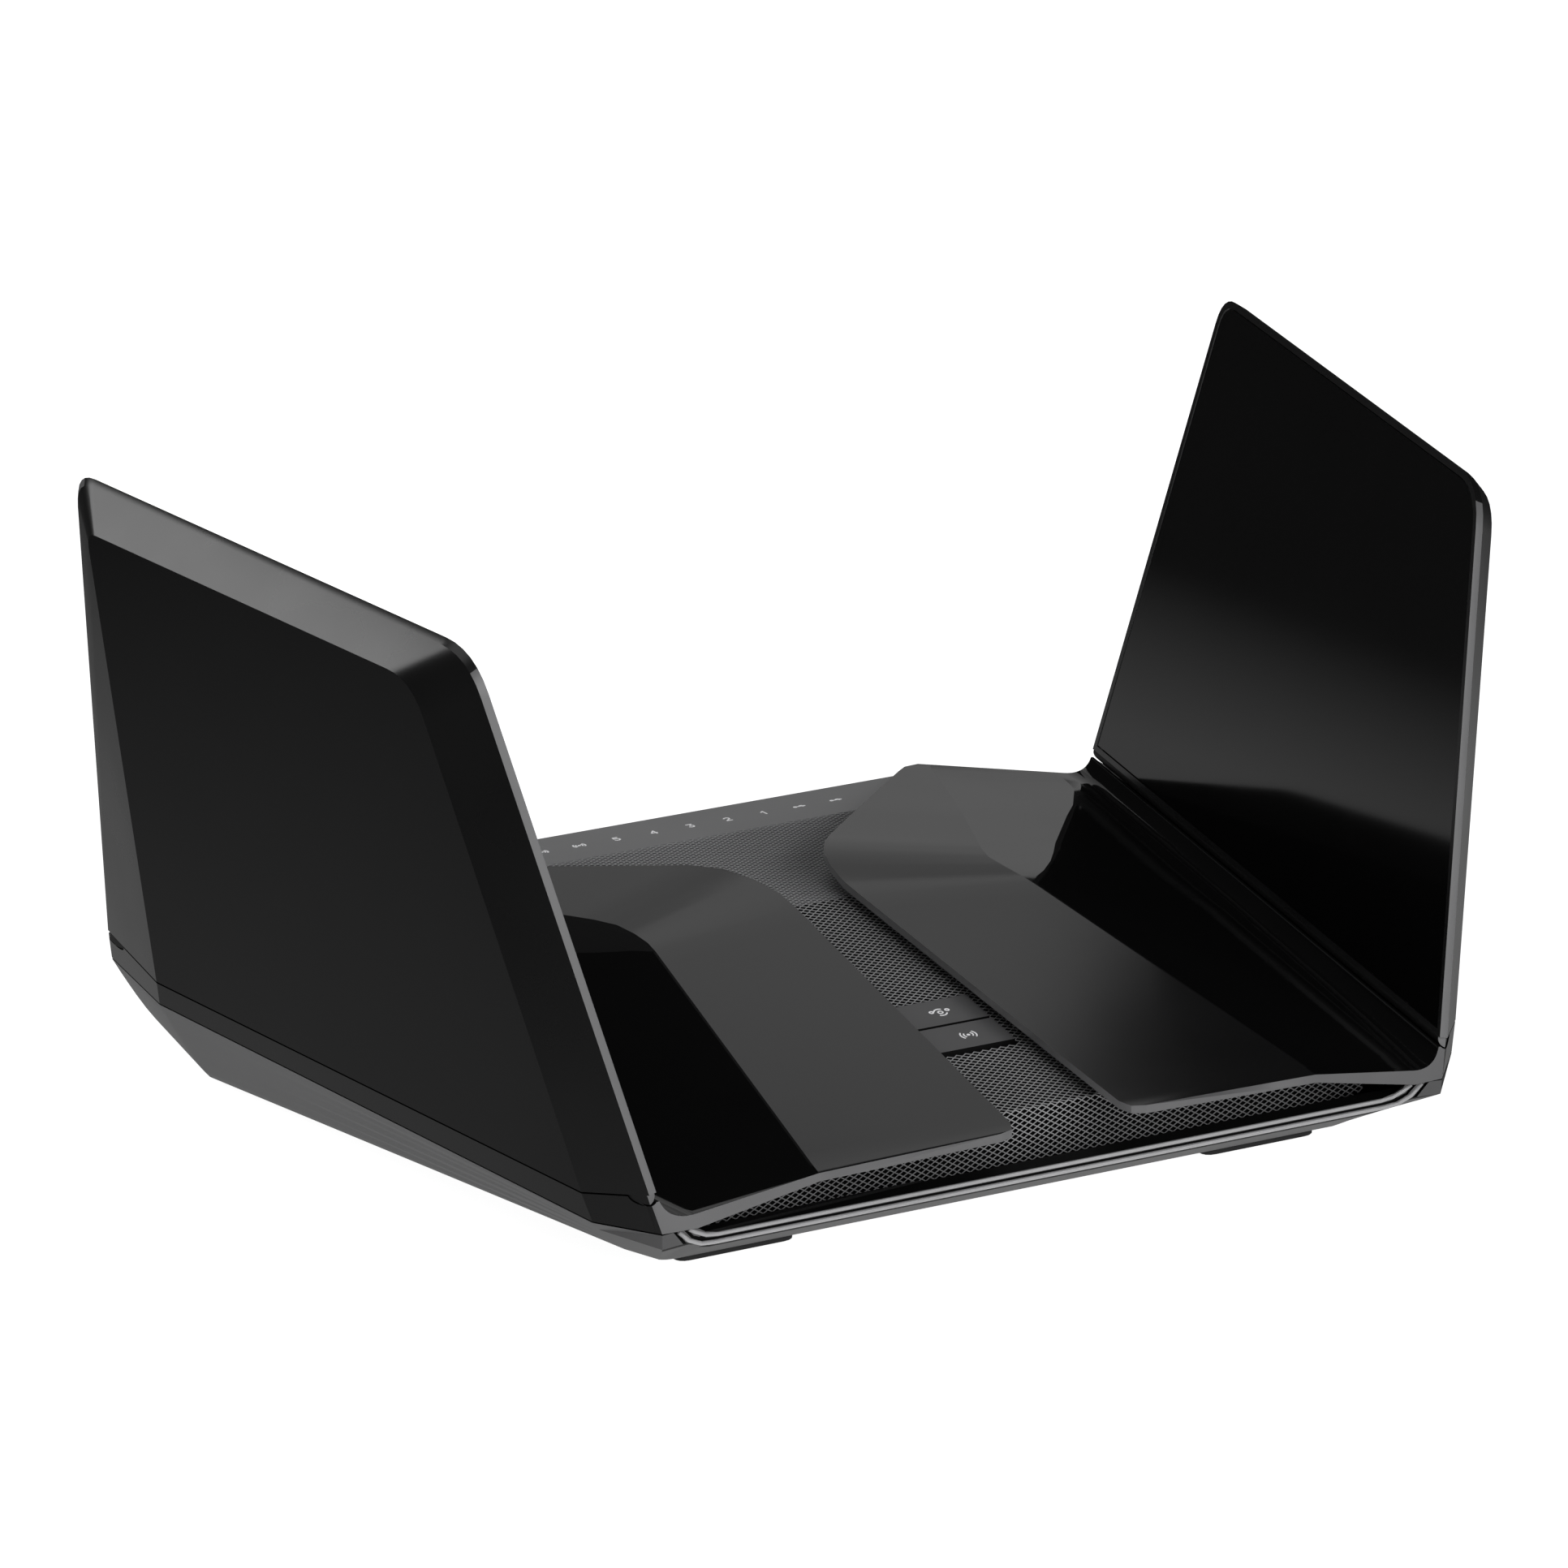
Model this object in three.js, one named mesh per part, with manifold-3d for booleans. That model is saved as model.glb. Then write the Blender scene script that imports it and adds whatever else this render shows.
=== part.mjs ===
// Wireless router with two folding antenna wings.
// Millimetres, +Z up. X runs across the router (right is +X), the front faces -Y.
// The origin lies on the table under the middle of the whole router.
import * as THREE from 'three';
import { mergeVertices } from 'three/addons/utils/BufferGeometryUtils.js';
import Module from 'manifold-3d';

const wasm = await Module();
wasm.setup();

// ---------------------------------------------------------------- driving dimensions

const GAP = 0.3;                 // clearance between separate pieces
const SIDES = { left: -1, right: 1 };

// wing hinge line: the inner edge of the parting line between wing and side cover
const WING_ORIGIN = point(94.66, -96.68, 26.5);
const WING_SPLAY = 8.84;         // degrees, wings stand wider apart at the rear
const WING_LEAN = 10.43;         // degrees, wings lean outward when open
const WING_LENGTH = 203.4;       // along the hinge line
const WING_THICKNESS = 9.6;
const WING_EDGE = 1.8;           // thickness of the thin outer edge
const WING_WALL = 1.6;
const PARTING_GAP = 0.2;         // each side of the parting plane

const BARREL_RADIUS = 2.0;       // round lower edge of the wing, about the hinge axis
const HINGE_INSET = BARREL_RADIUS;   // hinge axis behind the inner face
const SCOOP_RADIUS = 2.3;        // hollow of the side cover that the barrel turns in
const LIP = { v: -1.75, t: 0.5 }; // top of the side cover's inner lip, beside the barrel
const KNUCKLE_RADIUS = 1.05;
const PIN_RADIUS = 0.5;
const PIN_BORE = 0.6;
const PIN_SPAN = [14.5, 187.5];
const KNUCKLES = [[18, 38], [91, 111], [164, 184]];   // along the hinge, fixed to the side cover

const PANEL_THICKNESS = 1.7;     // faceted top panel of the side covers

const HOUSING_BOTTOM = 1.5;      // underside of the housing, above the feet
const HOUSING_FLOOR = 2.0;
const HOUSING_WALL = 2.6;        // measured level, the walls themselves slope
const REAR_FACE_Y = 100.3;
const REAR_WALL = 2.0;

const GRILLE_FRONT_Y = -87;
const GRILLE_CREASE_Z = 24.9;
const GRILLE_CREST = [12.2, 38.8];   // [y, z] of the ridge
const GRILLE_REAR = [79.1, 32.1];
const GRILLE_THICKNESS = 1.2;

const STRIP_FRONT = [79.7, 31.8];    // [y, z] of the status strip's top face
const STRIP_REAR = [REAR_FACE_Y, 30.4];
const STRIP_THICKNESS = 1.2;

const BUTTON_HALF_WIDTH = 10.8;
const BUTTON_RISE = 0.9;         // how far the buttons stand above the grille
const BUTTON_TRAVEL = 0.8;
const BUTTON_SPANS = { wifi: [-60.4, -50.1], wps: [-49.3, -38.7] };

const BOARD_BOTTOM = 6.4;
const BOARD_TOP = 8.0;
const BOARD_HALF_WIDTH = 80;
const BOARD_FRONT_Y = -62;
const BOARD_REAR_Y = 96;
const SEAT_Z = BOARD_TOP + GAP;  // where the connectors stand on the board

const JACK_COUNT = 6;
const JACK_PITCH = 15;
const JACK_FIRST_X = -56.5;
const JACK_WIDTH = 14.6;
const JACK_HEIGHT = 13.4;
const JACK_FRONT_Y = 84.3;
const USB_X = 36;
const POWER_BUTTON = [50, 13.5];     // [x, z]
const LED_SWITCH = [49, 23.0];
const RESET_BUTTON = [60.5, 23.2];
const DC_INLET = [60.5, 13.5];

// ---------------------------------------------------------------- helpers

function point(x, y, z) {
  return new THREE.Vector3(x, y, z);
}

function between(a, b, t) {
  return new THREE.Vector3().lerpVectors(a, b, t);
}

// Closed solid through rings of equal point count, capped at both ends.
function loft(rings) {
  const count = rings[0].length;
  const positions = rings.flat().flatMap((p) => [p.x, p.y, p.z]);
  const index = [];
  for (let ring = 0; ring + 1 < rings.length; ring++) {
    for (let i = 0; i < count; i++) {
      const a = ring * count + i;
      const b = ring * count + (i + 1) % count;
      index.push(a, b, b + count, a, b + count, a + count);
    }
  }
  const last = (rings.length - 1) * count;
  for (const [a, b, c] of capTriangles(rings[0])) index.push(c, b, a);
  for (const [a, b, c] of capTriangles(rings[rings.length - 1])) index.push(last + a, last + b, last + c);
  return facingOut(positions, index);
}

// Triangles across one ring, worked out in the ring's own mean plane.
function capTriangles(ring) {
  const normal = new THREE.Vector3();
  ring.forEach((p, i) => {
    const q = ring[(i + 1) % ring.length];
    normal.x += (p.y - q.y) * (p.z + q.z);
    normal.y += (p.z - q.z) * (p.x + q.x);
    normal.z += (p.x - q.x) * (p.y + q.y);
  });
  normal.normalize();
  const turn = new THREE.Quaternion().setFromUnitVectors(normal, point(0, 0, 1));
  const flat = ring.map((p) => p.clone().applyQuaternion(turn)).map((p) => new THREE.Vector2(p.x, p.y));
  return THREE.ShapeUtils.triangulateShape(flat, []);
}

// Indexed geometry whose faces look outward.
function facingOut(positions, index) {
  let volume = 0;
  const corner = (i) => point(positions[3 * i], positions[3 * i + 1], positions[3 * i + 2]);
  for (let i = 0; i < index.length; i += 3) {
    volume += corner(index[i]).dot(corner(index[i + 1]).cross(corner(index[i + 2])));
  }
  if (volume < 0) index.reverse();
  const geometry = new THREE.BufferGeometry();
  geometry.setAttribute('position', new THREE.Float32BufferAttribute(positions, 3));
  geometry.setIndex(index);
  return geometry;
}

function box(x0, x1, y0, y1, z0, z1) {
  const geometry = new THREE.BoxGeometry(x1 - x0, y1 - y0, z1 - z0);
  return geometry.translate((x0 + x1) / 2, (y0 + y1) / 2, (z0 + z1) / 2);
}

// Cylinder between two heights of one axis: 'x', 'y' or 'z'.
function rod(axis, radius, start, end, u, v, segments = 24) {
  const geometry = new THREE.CylinderGeometry(radius, radius, end - start, segments);
  const middle = (start + end) / 2;
  if (axis === 'x') return geometry.rotateZ(-Math.PI / 2).translate(middle, u, v);
  if (axis === 'y') return geometry.translate(u, middle, v);
  return geometry.rotateX(Math.PI / 2).translate(u, v, middle);
}

// Outline in the plane across one axis, extruded along that axis.
function slab(axis, outline, start, end) {
  const shape = new THREE.Shape(outline.map(([a, b]) => new THREE.Vector2(a, b)));
  const geometry = new THREE.ExtrudeGeometry(shape, { depth: end - start, bevelEnabled: false });
  geometry.translate(0, 0, start);
  if (axis === 'x') geometry.applyMatrix4(new THREE.Matrix4().makeBasis(point(0, 1, 0), point(0, 0, 1), point(1, 0, 0)));
  if (axis === 'y') geometry.applyMatrix4(new THREE.Matrix4().makeBasis(point(0, 0, 1), point(1, 0, 0), point(0, 1, 0)));
  return geometry;
}

function toSolid(geometry) {
  const bare = geometry.clone();
  bare.deleteAttribute('normal');
  bare.deleteAttribute('uv');
  const merged = mergeVertices(bare, 1e-5);
  const mesh = new wasm.Mesh({
    numProp: 3,
    vertProperties: Float32Array.from(merged.attributes.position.array),
    triVerts: Uint32Array.from(merged.index.array),
  });
  return new wasm.Manifold(mesh);
}

function toGeometry(solid) {
  const mesh = solid.getMesh();
  const geometry = new THREE.BufferGeometry();
  const positions = [];
  for (let i = 0; i < mesh.vertProperties.length; i += mesh.numProp) {
    positions.push(mesh.vertProperties[i], mesh.vertProperties[i + 1], mesh.vertProperties[i + 2]);
  }
  geometry.setAttribute('position', new THREE.Float32BufferAttribute(positions, 3));
  geometry.setIndex(Array.from(mesh.triVerts));
  return geometry;
}

function cut(geometry, ...cutters) {
  let solid = toSolid(geometry);
  for (const cutter of cutters) solid = solid.subtract(toSolid(cutter));
  return toGeometry(solid);
}

function join(geometry, ...others) {
  let solid = toSolid(geometry);
  for (const other of others) solid = solid.add(toSolid(other));
  return toGeometry(solid);
}

function overlap(geometry, other) {
  return toGeometry(toSolid(geometry).intersect(toSolid(other)));
}

// The same piece on the other side of the router.
function mirrored(geometry) {
  const copy = geometry.index ? geometry.clone() : mergeVertices(geometry);
  copy.deleteAttribute('normal');
  copy.scale(-1, 1, 1);
  copy.setIndex(Array.from(copy.index.array).reverse());
  return copy;
}

function onSide(geometry, side) {
  return side < 0 ? mirrored(geometry) : geometry;
}

// Points of a closed outline whose corners are rounded: corners are [a, b, radius].
function rounded(corners, segments) {
  const points = [];
  corners.forEach(([a, b, radius], i) => {
    const corner = new THREE.Vector2(a, b);
    const before = new THREE.Vector2(...corners[(i + corners.length - 1) % corners.length]);
    const after = new THREE.Vector2(...corners[(i + 1) % corners.length]);
    const toBefore = before.sub(corner).normalize();
    const toAfter = after.sub(corner).normalize();
    const reach = radius / Math.tan(Math.acos(toBefore.dot(toAfter)) / 2);
    const start = corner.clone().addScaledVector(toBefore, reach);
    const end = corner.clone().addScaledVector(toAfter, reach);
    const bend = new THREE.QuadraticBezierCurve(start, corner, end);
    points.push(...bend.getPoints(segments).map((p) => [p.x, p.y]));
  });
  return points;
}

// ---------------------------------------------------------------- materials and parts

const router = new THREE.Group();

const COLOURS = {
  glossBlack: [0x0b0b0c, 0.18, 0.0],
  satinBlack: [0x2a2a2c, 0.45, 0.0],
  darkGrey: [0x3a3a3c, 0.5, 0.0],
  grilleGrey: [0x1c1c1e, 0.5, 0.0],
  buttonGrey: [0x4a4a4c, 0.5, 0.0],
  rubber: [0x242424, 0.9, 0.0],
  steel: [0xb8bcc0, 0.35, 1.0],
  darkSteel: [0x303236, 0.4, 1.0],
  aluminium: [0xc4c8cc, 0.4, 1.0],
  boardGreen: [0x1d5a34, 0.6, 0.0],
  clearGuide: [0xdfe6ea, 0.2, 0.0],
  connectorBlack: [0x151516, 0.5, 0.0],
  paper: [0xd8d8d6, 0.8, 0.0],
};

function addPart(name, geometry, look) {
  const [color, roughness, metalness] = COLOURS[look];
  const mesh = new THREE.Mesh(geometry, new THREE.MeshStandardMaterial({ color, roughness, metalness }));
  mesh.name = name;
  router.add(mesh);
}

// ---------------------------------------------------------------- wing frame

const radians = THREE.MathUtils.degToRad;
const alongHinge = point(Math.sin(radians(WING_SPLAY)), Math.cos(radians(WING_SPLAY)), 0);
const outwardLevel = point(Math.cos(radians(WING_SPLAY)), -Math.sin(radians(WING_SPLAY)), 0);
const upWing = point(0, 0, Math.cos(radians(WING_LEAN))).addScaledVector(outwardLevel, Math.sin(radians(WING_LEAN)));
const outOfWing = new THREE.Vector3().crossVectors(alongHinge, upWing);
const wingFrame = new THREE.Matrix4().makeBasis(alongHinge, upWing, outOfWing).setPosition(WING_ORIGIN);

// A point given along the hinge, up the wing, and outward from its inner face.
function wingPoint(u, v, t) {
  return point(u, v, t).applyMatrix4(wingFrame);
}

// ---------------------------------------------------------------- wings

// Corners of the flat inner face, of the edge band's outer side, and of the smaller outer face:
// [along, up, corner radius].
const WING_INNER_FACE = [
  [0, PARTING_GAP, 0.05], [WING_LENGTH, PARTING_GAP, 0.05], [178.9, 116.9, 9], [33.2, 114.6, 13],
];
const WING_EDGE_FACE = [
  [0, PARTING_GAP, 0.05], [200.8, PARTING_GAP, 0.05], [176.6, 116.2, 8.5], [33.4, 113.9, 12.6],
];
const WING_OUTER_FACE = [
  [13.2, PARTING_GAP, 0.05], [170.1, PARTING_GAP, 0.05], [162.8, 110.5, 4], [43.8, 108.8, 11],
];

// Corners moved inward from every edge of a convex outline.
function inset(corners, sideInset, bottomInset) {
  return corners.map(([a, b, radius], i) => {
    const corner = new THREE.Vector2(a, b);
    const before = new THREE.Vector2(...corners[(i + corners.length - 1) % corners.length]);
    const after = new THREE.Vector2(...corners[(i + 1) % corners.length]);
    const alongBefore = corner.clone().sub(before).normalize();
    const alongAfter = after.clone().sub(corner).normalize();
    const insetBefore = i === 1 ? bottomInset : sideInset;
    const insetAfter = i === 0 ? bottomInset : sideInset;
    const turn = alongBefore.cross(alongAfter);
    corner.addScaledVector(alongBefore, -insetAfter / turn);
    corner.addScaledVector(alongAfter, insetBefore / turn);
    return [corner.x, corner.y, Math.max(radius - sideInset, 0.05)];
  });
}

const CORNER_SEGMENTS = 6;

function wingRing(corners, t) {
  return rounded(corners, CORNER_SEGMENTS).map(([u, v]) => point(u, v, t));
}

// Rod about the hinge axis.
function hingeRod(radius, [start, end], segments = 24) {
  return rod('x', radius, start, end, 0, HINGE_INSET, segments);
}

const WING_FLOOR = 2.4;          // height of the solid edge above the parting line
const PANEL_SEAT = [1.3, 1.45];  // height and depth of the ledge that the inner panel sits on

function wingShell() {
  const body = loft([
    wingRing(WING_INNER_FACE, 0),
    wingRing(WING_EDGE_FACE, WING_EDGE),
    wingRing(WING_OUTER_FACE, WING_THICKNESS),
  ]);
  const hollow = loft([
    wingRing(inset(WING_EDGE_FACE, WING_WALL, WING_FLOOR), -1),
    wingRing(inset(WING_EDGE_FACE, WING_WALL, WING_FLOOR), WING_EDGE),
    wingRing(inset(WING_OUTER_FACE, WING_WALL, WING_FLOOR), WING_THICKNESS - WING_WALL),
  ]);
  const seatOutline = inset(WING_INNER_FACE, WING_WALL, PANEL_SEAT[0]);
  const seat = loft([wingRing(seatOutline, -1), wingRing(seatOutline, PANEL_SEAT[1])]);
  const below = -3;
  const extended = [WING_INNER_FACE, WING_EDGE_FACE, WING_OUTER_FACE].map((corners) =>
    corners.map(([u, v, radius]) => [u, v < 1 ? below : v, radius]));
  const envelope = loft([
    wingRing(extended[0], 0),
    wingRing(extended[1], WING_EDGE),
    wingRing(extended[2], WING_THICKNESS),
  ]);
  const barrel = overlap(hingeRod(BARREL_RADIUS, [-2, WING_LENGTH + 2], 40), envelope);
  const skin = HINGE_INSET - KNUCKLE_RADIUS - GAP;
  const notches = KNUCKLES.map(([start, end]) => box(start - GAP, end + GAP, -3, 1.5, skin, 5.4));
  return cut(join(body, barrel), hollow, seat, ...notches, hingeRod(PIN_BORE, PIN_SPAN, 16));
}

function wingInnerPanel() {
  const outline = inset(WING_INNER_FACE, WING_WALL + GAP, PANEL_SEAT[0] + GAP);
  return loft([wingRing(outline, 0.15), wingRing(outline, PANEL_SEAT[1] - GAP)]);
}

function antennaBoard(start) {
  return box(start, start + 48, 16, 96, 4.2, 5.2);
}

for (const [side, sign] of Object.entries(SIDES)) {
  const place = (geometry) => onSide(geometry.applyMatrix4(wingFrame), sign);
  addPart(`${side}_wing_shell`, place(wingShell()), 'glossBlack');
  addPart(`${side}_wing_inner_panel`, place(wingInnerPanel()), 'glossBlack');
  addPart(`${side}_front_antenna_board`, place(antennaBoard(48)), 'boardGreen');
  addPart(`${side}_rear_antenna_board`, place(antennaBoard(104)), 'boardGreen');
  addPart(`${side}_hinge_pin`, place(hingeRod(PIN_RADIUS, PIN_SPAN, 16)), 'steel');
}

// ---------------------------------------------------------------- side covers

// Lines of the right cover, each given at the same stations from front to rear:
// the free inner edge, the crease, the second crease, and the hinge distance of the stub.
const COVER_STATIONS = [
  { edge: [17.5, -103.9, 27.8], crease: [59.9, -102.6, 26.5], fold: [60.4, -102.6, 26.4], along: 0 },
  { edge: [14.4, -103.0, 27.9], crease: [59.8, -101.6, 26.7], fold: [60.3, -101.6, 26.6], along: 1.2 },
  { edge: [13.1, -100.0, 28.2], crease: [59.5, -99.2, 27.0], fold: [60.0, -99.2, 26.9], along: 4 },
  { edge: [12.4, -86.0, 30.1], crease: [58.1, -89.0, 28.6], fold: [58.6, -89.0, 28.5], along: 13.2 },
  { edge: [8.1, 3.0, 42.5], crease: [46.6, -5.0, 41.5], fold: [47.1, -5.0, 41.4], along: 94 },
  { edge: [8.0, 10.5, 43.4], crease: [46.1, -0.5, 41.9], fold: [50.2, -0.8, 40.9], along: 100 },
  { edge: [9.6, 19.5, 44.1], crease: [45.9, 6.0, 41.9], fold: [55.5, 5.2, 39.5], along: 107 },
  { edge: [12.6, 28.0, 44.3], crease: [46.3, 13.5, 41.6], fold: [62.5, 14.3, 37.7], along: 116 },
  { edge: [16.8, 35.2, 43.6], crease: [48.4, 20.5, 41.0], fold: [68.0, 22.5, 36.2], along: 125 },
  { edge: [22.9, 43.0, 42.1], crease: [51.5, 28.0, 40.2], fold: [74.0, 32.0, 34.5], along: 135 },
  { edge: [44.0, 67.4, 37.8], crease: [62.5, 54.5, 37.0], fold: [93.0, 59.5, 29.4], along: 160 },
  { edge: [51.5, 76.0, 36.2], crease: [66.5, 64.5, 35.6], fold: [101.0, 70.5, 27.3], along: 170.1 },
  { edge: [64.7, 91.2, 33.4], crease: [75.0, 86.5, 32.8], fold: [111.0, 87.0, 24.6], along: 188 },
  { edge: [70.4, 97.8, 32.2], crease: [78.2, 96.0, 31.6], fold: [113.4, 95.0, 23.7], along: 196 },
  { edge: [74.2, 101.6, 31.6], crease: [80.8, 101.5, 30.8], fold: [115.0, 101.0, 23.0], along: 200.8 },
  { edge: [79.0, 103.9, 30.8], crease: [84.0, 103.9, 29.7], fold: [116.2, 103.9, 22.6], along: WING_LENGTH },
];

const VALLEY_FRONT = point(93.4, -97.3, 20.1);   // sharp corner that the rounded valley fills
const VALLEY_REAR = point(124.8, 103.8, 20.7);
const VALLEY_REACH = 7;
const VALLEY_SEGMENTS = 12;
const STATION_STEP = 6;          // spacing of the sections along the hinge, at most about this

const STUB_END = 200.8;          // where the stub's rear bevel ends, in line with the wing's

// Outer thickness of the stub along the hinge: thin at both ends, as the wing's bevels are.
function stubThickness(along) {
  const front = THREE.MathUtils.mapLinear(along, 0, 13.2, WING_EDGE, WING_THICKNESS);
  const rear = THREE.MathUtils.mapLinear(along, 170.1, STUB_END, WING_THICKNESS, WING_EDGE);
  const rearEdge = THREE.MathUtils.mapLinear(along, STUB_END, WING_LENGTH, WING_EDGE, PARTING_GAP);
  return Math.min(front, along > STUB_END ? rearEdge : rear, WING_THICKNESS);
}

// Lower outer edge of the stub, where it meets the housing.
const STUB_FOOT = [
  [0, point(94.3, -98.5, 18.0)],
  [13.2, point(104.3, -86.6, 18.6)],
  [170.1, point(129.1, 70.9, 19.4)],
  [WING_LENGTH, point(125.5, 103.8, 19.0)],
];

function stubFoot(along) {
  const next = STUB_FOOT.findIndex(([station], i) => i > 0 && along <= station);
  const [start, from] = STUB_FOOT[next - 1];
  const [end, to] = STUB_FOOT[next];
  return between(from, to, (along - start) / (end - start));
}

// Front face of the cover: flat on each side of the crease, its lower edge a little further
// forward than its upper one.
const FRONT_FACE = { x: 59.9, y: -102.6, z: 26.5, innerSlope: 0.0371, outerSlope: 0.1715, lean: 0.2118 };

function ontoFrontFace({ x, z }) {
  const slope = x > FRONT_FACE.x ? FRONT_FACE.outerSlope : FRONT_FACE.innerSlope;
  const y = FRONT_FACE.y + (x - FRONT_FACE.x) * slope + (z - FRONT_FACE.z) * FRONT_FACE.lean;
  return point(x, y, z);
}

// Stations between the given ones, so that the twisted facets stay smooth.
function betweenStations(from, to) {
  const count = Math.max(1, Math.round((to.along - from.along) / STATION_STEP));
  const mix = (a, b, t) => a.map((value, i) => THREE.MathUtils.lerp(value, b[i], t));
  return Array.from({ length: count }, (_, i) => ({
    edge: mix(from.edge, to.edge, i / count),
    crease: mix(from.crease, to.crease, i / count),
    fold: mix(from.fold, to.fold, i / count),
    along: THREE.MathUtils.lerp(from.along, to.along, i / count),
  }));
}

function allStations() {
  const last = COVER_STATIONS[COVER_STATIONS.length - 1];
  return [...COVER_STATIONS.slice(1).flatMap((station, i) => betweenStations(COVER_STATIONS[i], station)), last];
}

function coverSection({ edge, crease, fold, along }) {
  const top = [point(...edge), point(...crease), point(...fold)];
  const corner = between(VALLEY_FRONT, VALLEY_REAR, along / WING_LENGTH);
  const towardPanel = top[2].clone().sub(corner).normalize();
  const valleyStart = corner.clone().addScaledVector(towardPanel, VALLEY_REACH);
  const stubTop = wingPoint(along, -PARTING_GAP, 0);
  const valley = new THREE.QuadraticBezierCurve3(valleyStart, corner, stubTop).getPoints(VALLEY_SEGMENTS);
  const foot = stubFoot(along);
  const underValley = valleyStart.clone();
  underValley.z = foot.z + 0.4;
  const under = (p) => p.clone().add(point(0, 0, -PANEL_THICKNESS));
  const section = [
    ...top,
    ...valley,
    wingPoint(along, -PARTING_GAP, stubThickness(along)),
    foot,
    underValley,
    under(top[1]),
    under(top[0]),
  ];
  return along === 0 ? section.map(ontoFrontFace) : section;
}

// Fixed knuckle: a round eye on the hinge axis, on an arm that reaches in from the stub's outer side.
function knuckle([start, end]) {
  const arm = box(start, end, -KNUCKLE_RADIUS, -PARTING_GAP, HINGE_INSET, HINGE_INSET + SCOOP_RADIUS + 1);
  return join(hingeRod(KNUCKLE_RADIUS, [start, end], 20), arm);
}

function sideCover() {
  const inWing = (geometry) => geometry.applyMatrix4(wingFrame);
  const scoop = inWing(hingeRod(SCOOP_RADIUS, [-2, WING_LENGTH + 2], 40));
  const lipTrim = inWing(box(-2, WING_LENGTH + 2, LIP.v, 3, -1.2, LIP.t));
  const shell = cut(loft(allStations().map(coverSection)), scoop, lipTrim);
  const knuckles = KNUCKLES.map((span) => inWing(knuckle(span)));
  return cut(join(shell, ...knuckles), inWing(hingeRod(PIN_BORE, PIN_SPAN, 16)));
}

for (const [side, sign] of Object.entries(SIDES)) {
  addPart(`${side}_side_cover`, onSide(sideCover(), sign), 'glossBlack');
}

// ---------------------------------------------------------------- bottom housing

// Right half of the housing's plan, front to rear: a point of the underside edge
// and the point of the rim above it. The rim lies a clearance below the side covers.
const HOUSING_OUTLINE = [
  { lower: [80, -75], rim: [80.5, -96.5, 15.3], front: true },
  { lower: [81, -74.8], rim: [83.2, -96.6, 15.9], front: true },
  { lower: [81.8, -74.4], rim: [86, -97.0, 17.6], front: true },
  { lower: [82.3, -74], rim: [94.3, -98.5, 17.7], front: true },
  { lower: [85.2, -66], rim: [104.3, -86.6, 18.3] },
  { lower: [118.9, 67.6], rim: [129.1, 70.9, 19.1] },
  { lower: [114.3, 102.7], rim: [125.5, 103.8, 18.7] },
  { lower: [78, 102.7], rim: [78, 103.8, 18.7] },
  { lower: [70, 99.6], rim: [70, REAR_FACE_Y, 18.7] },
];

// Height levels of the wall, and how far the front wall has spread out at each.
const HOUSING_LEVELS = [
  { rise: 0, frontSpread: 0 },
  { rise: 0.08, frontSpread: 0.12 },
  { rise: 0.25, frontSpread: 0.32 },
  { rise: 0.45, frontSpread: 0.56 },
  { rise: 0.66, frontSpread: 0.82 },
  { rise: 0.8, frontSpread: 0.99 },
  { rise: 1, frontSpread: 1 },
];
const SIDE_ROUNDNESS = 0.85;     // below 1 the side walls bulge outward

function housingRing({ rise, frontSpread }, shrink, lift) {
  const half = HOUSING_OUTLINE.map(({ lower, rim, front }) => {
    const spread = front ? frontSpread : rise ** SIDE_ROUNDNESS;
    const x = THREE.MathUtils.lerp(lower[0], rim[0], spread);
    const y = THREE.MathUtils.lerp(lower[1], rim[1], spread);
    const z = THREE.MathUtils.lerp(HOUSING_BOTTOM, rim[2], rise);
    return point(x - shrink * Math.sign(x), y - shrink * Math.sign(y), z + lift);
  });
  const otherHalf = half.map((p) => point(-p.x, p.y, p.z)).reverse();
  return [...half, ...otherHalf];
}

// Two grooves along the front lip, turned up at their ends: [x, z] of the right-hand bend.
const LIP_GROOVES = [
  [[80.5, 13.85], [83.6, 14.2], [86.4, 15.4], [88.9, 18.2]],
  [[81.5, 12.35], [85.0, 12.8], [88.4, 14.4], [91.4, 18.2]],
];
const GROOVE_WIDTH = 0.7;
const GROOVE_BOTTOM_Y = -95.7;
const LIP_SWEEP = 0.1;           // how fast the lip's ends run forward

function lipGroove(bend) {
  const path = [...bend.map(([x, z]) => [-x, z]).reverse(), ...bend];
  const rings = path.map(([x, z], i) => {
    const before = path[Math.max(i - 1, 0)];
    const after = path[Math.min(i + 1, path.length - 1)];
    const heading = new THREE.Vector2(after[0] - before[0], after[1] - before[1]).normalize();
    const [dx, dz] = [-heading.y * GROOVE_WIDTH / 2, heading.x * GROOVE_WIDTH / 2];
    const bottomY = GROOVE_BOTTOM_Y - LIP_SWEEP * Math.max(0, Math.abs(x) - bend[0][0]);
    return [
      point(x + dx, -100, z + dz),
      point(x - dx, -100, z - dz),
      point(x - dx, bottomY, z - dz),
      point(x + dx, bottomY, z + dz),
    ];
  });
  return loft(rings);
}

const FOOT_CENTRES = {
  front_left: [-63.9, -68.4],
  front_right: [63.9, -68.4],
  rear_left: [-84, 84],
  rear_right: [84, 84],
};
const FOOT_LENGTH = 28.2;
const FOOT_WIDTH = 12.2;
const FOOT_RECESS = 0.8;
const STANDOFFS = [[-72, -54], [72, -54], [-72, 76], [72, 76]];

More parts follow.
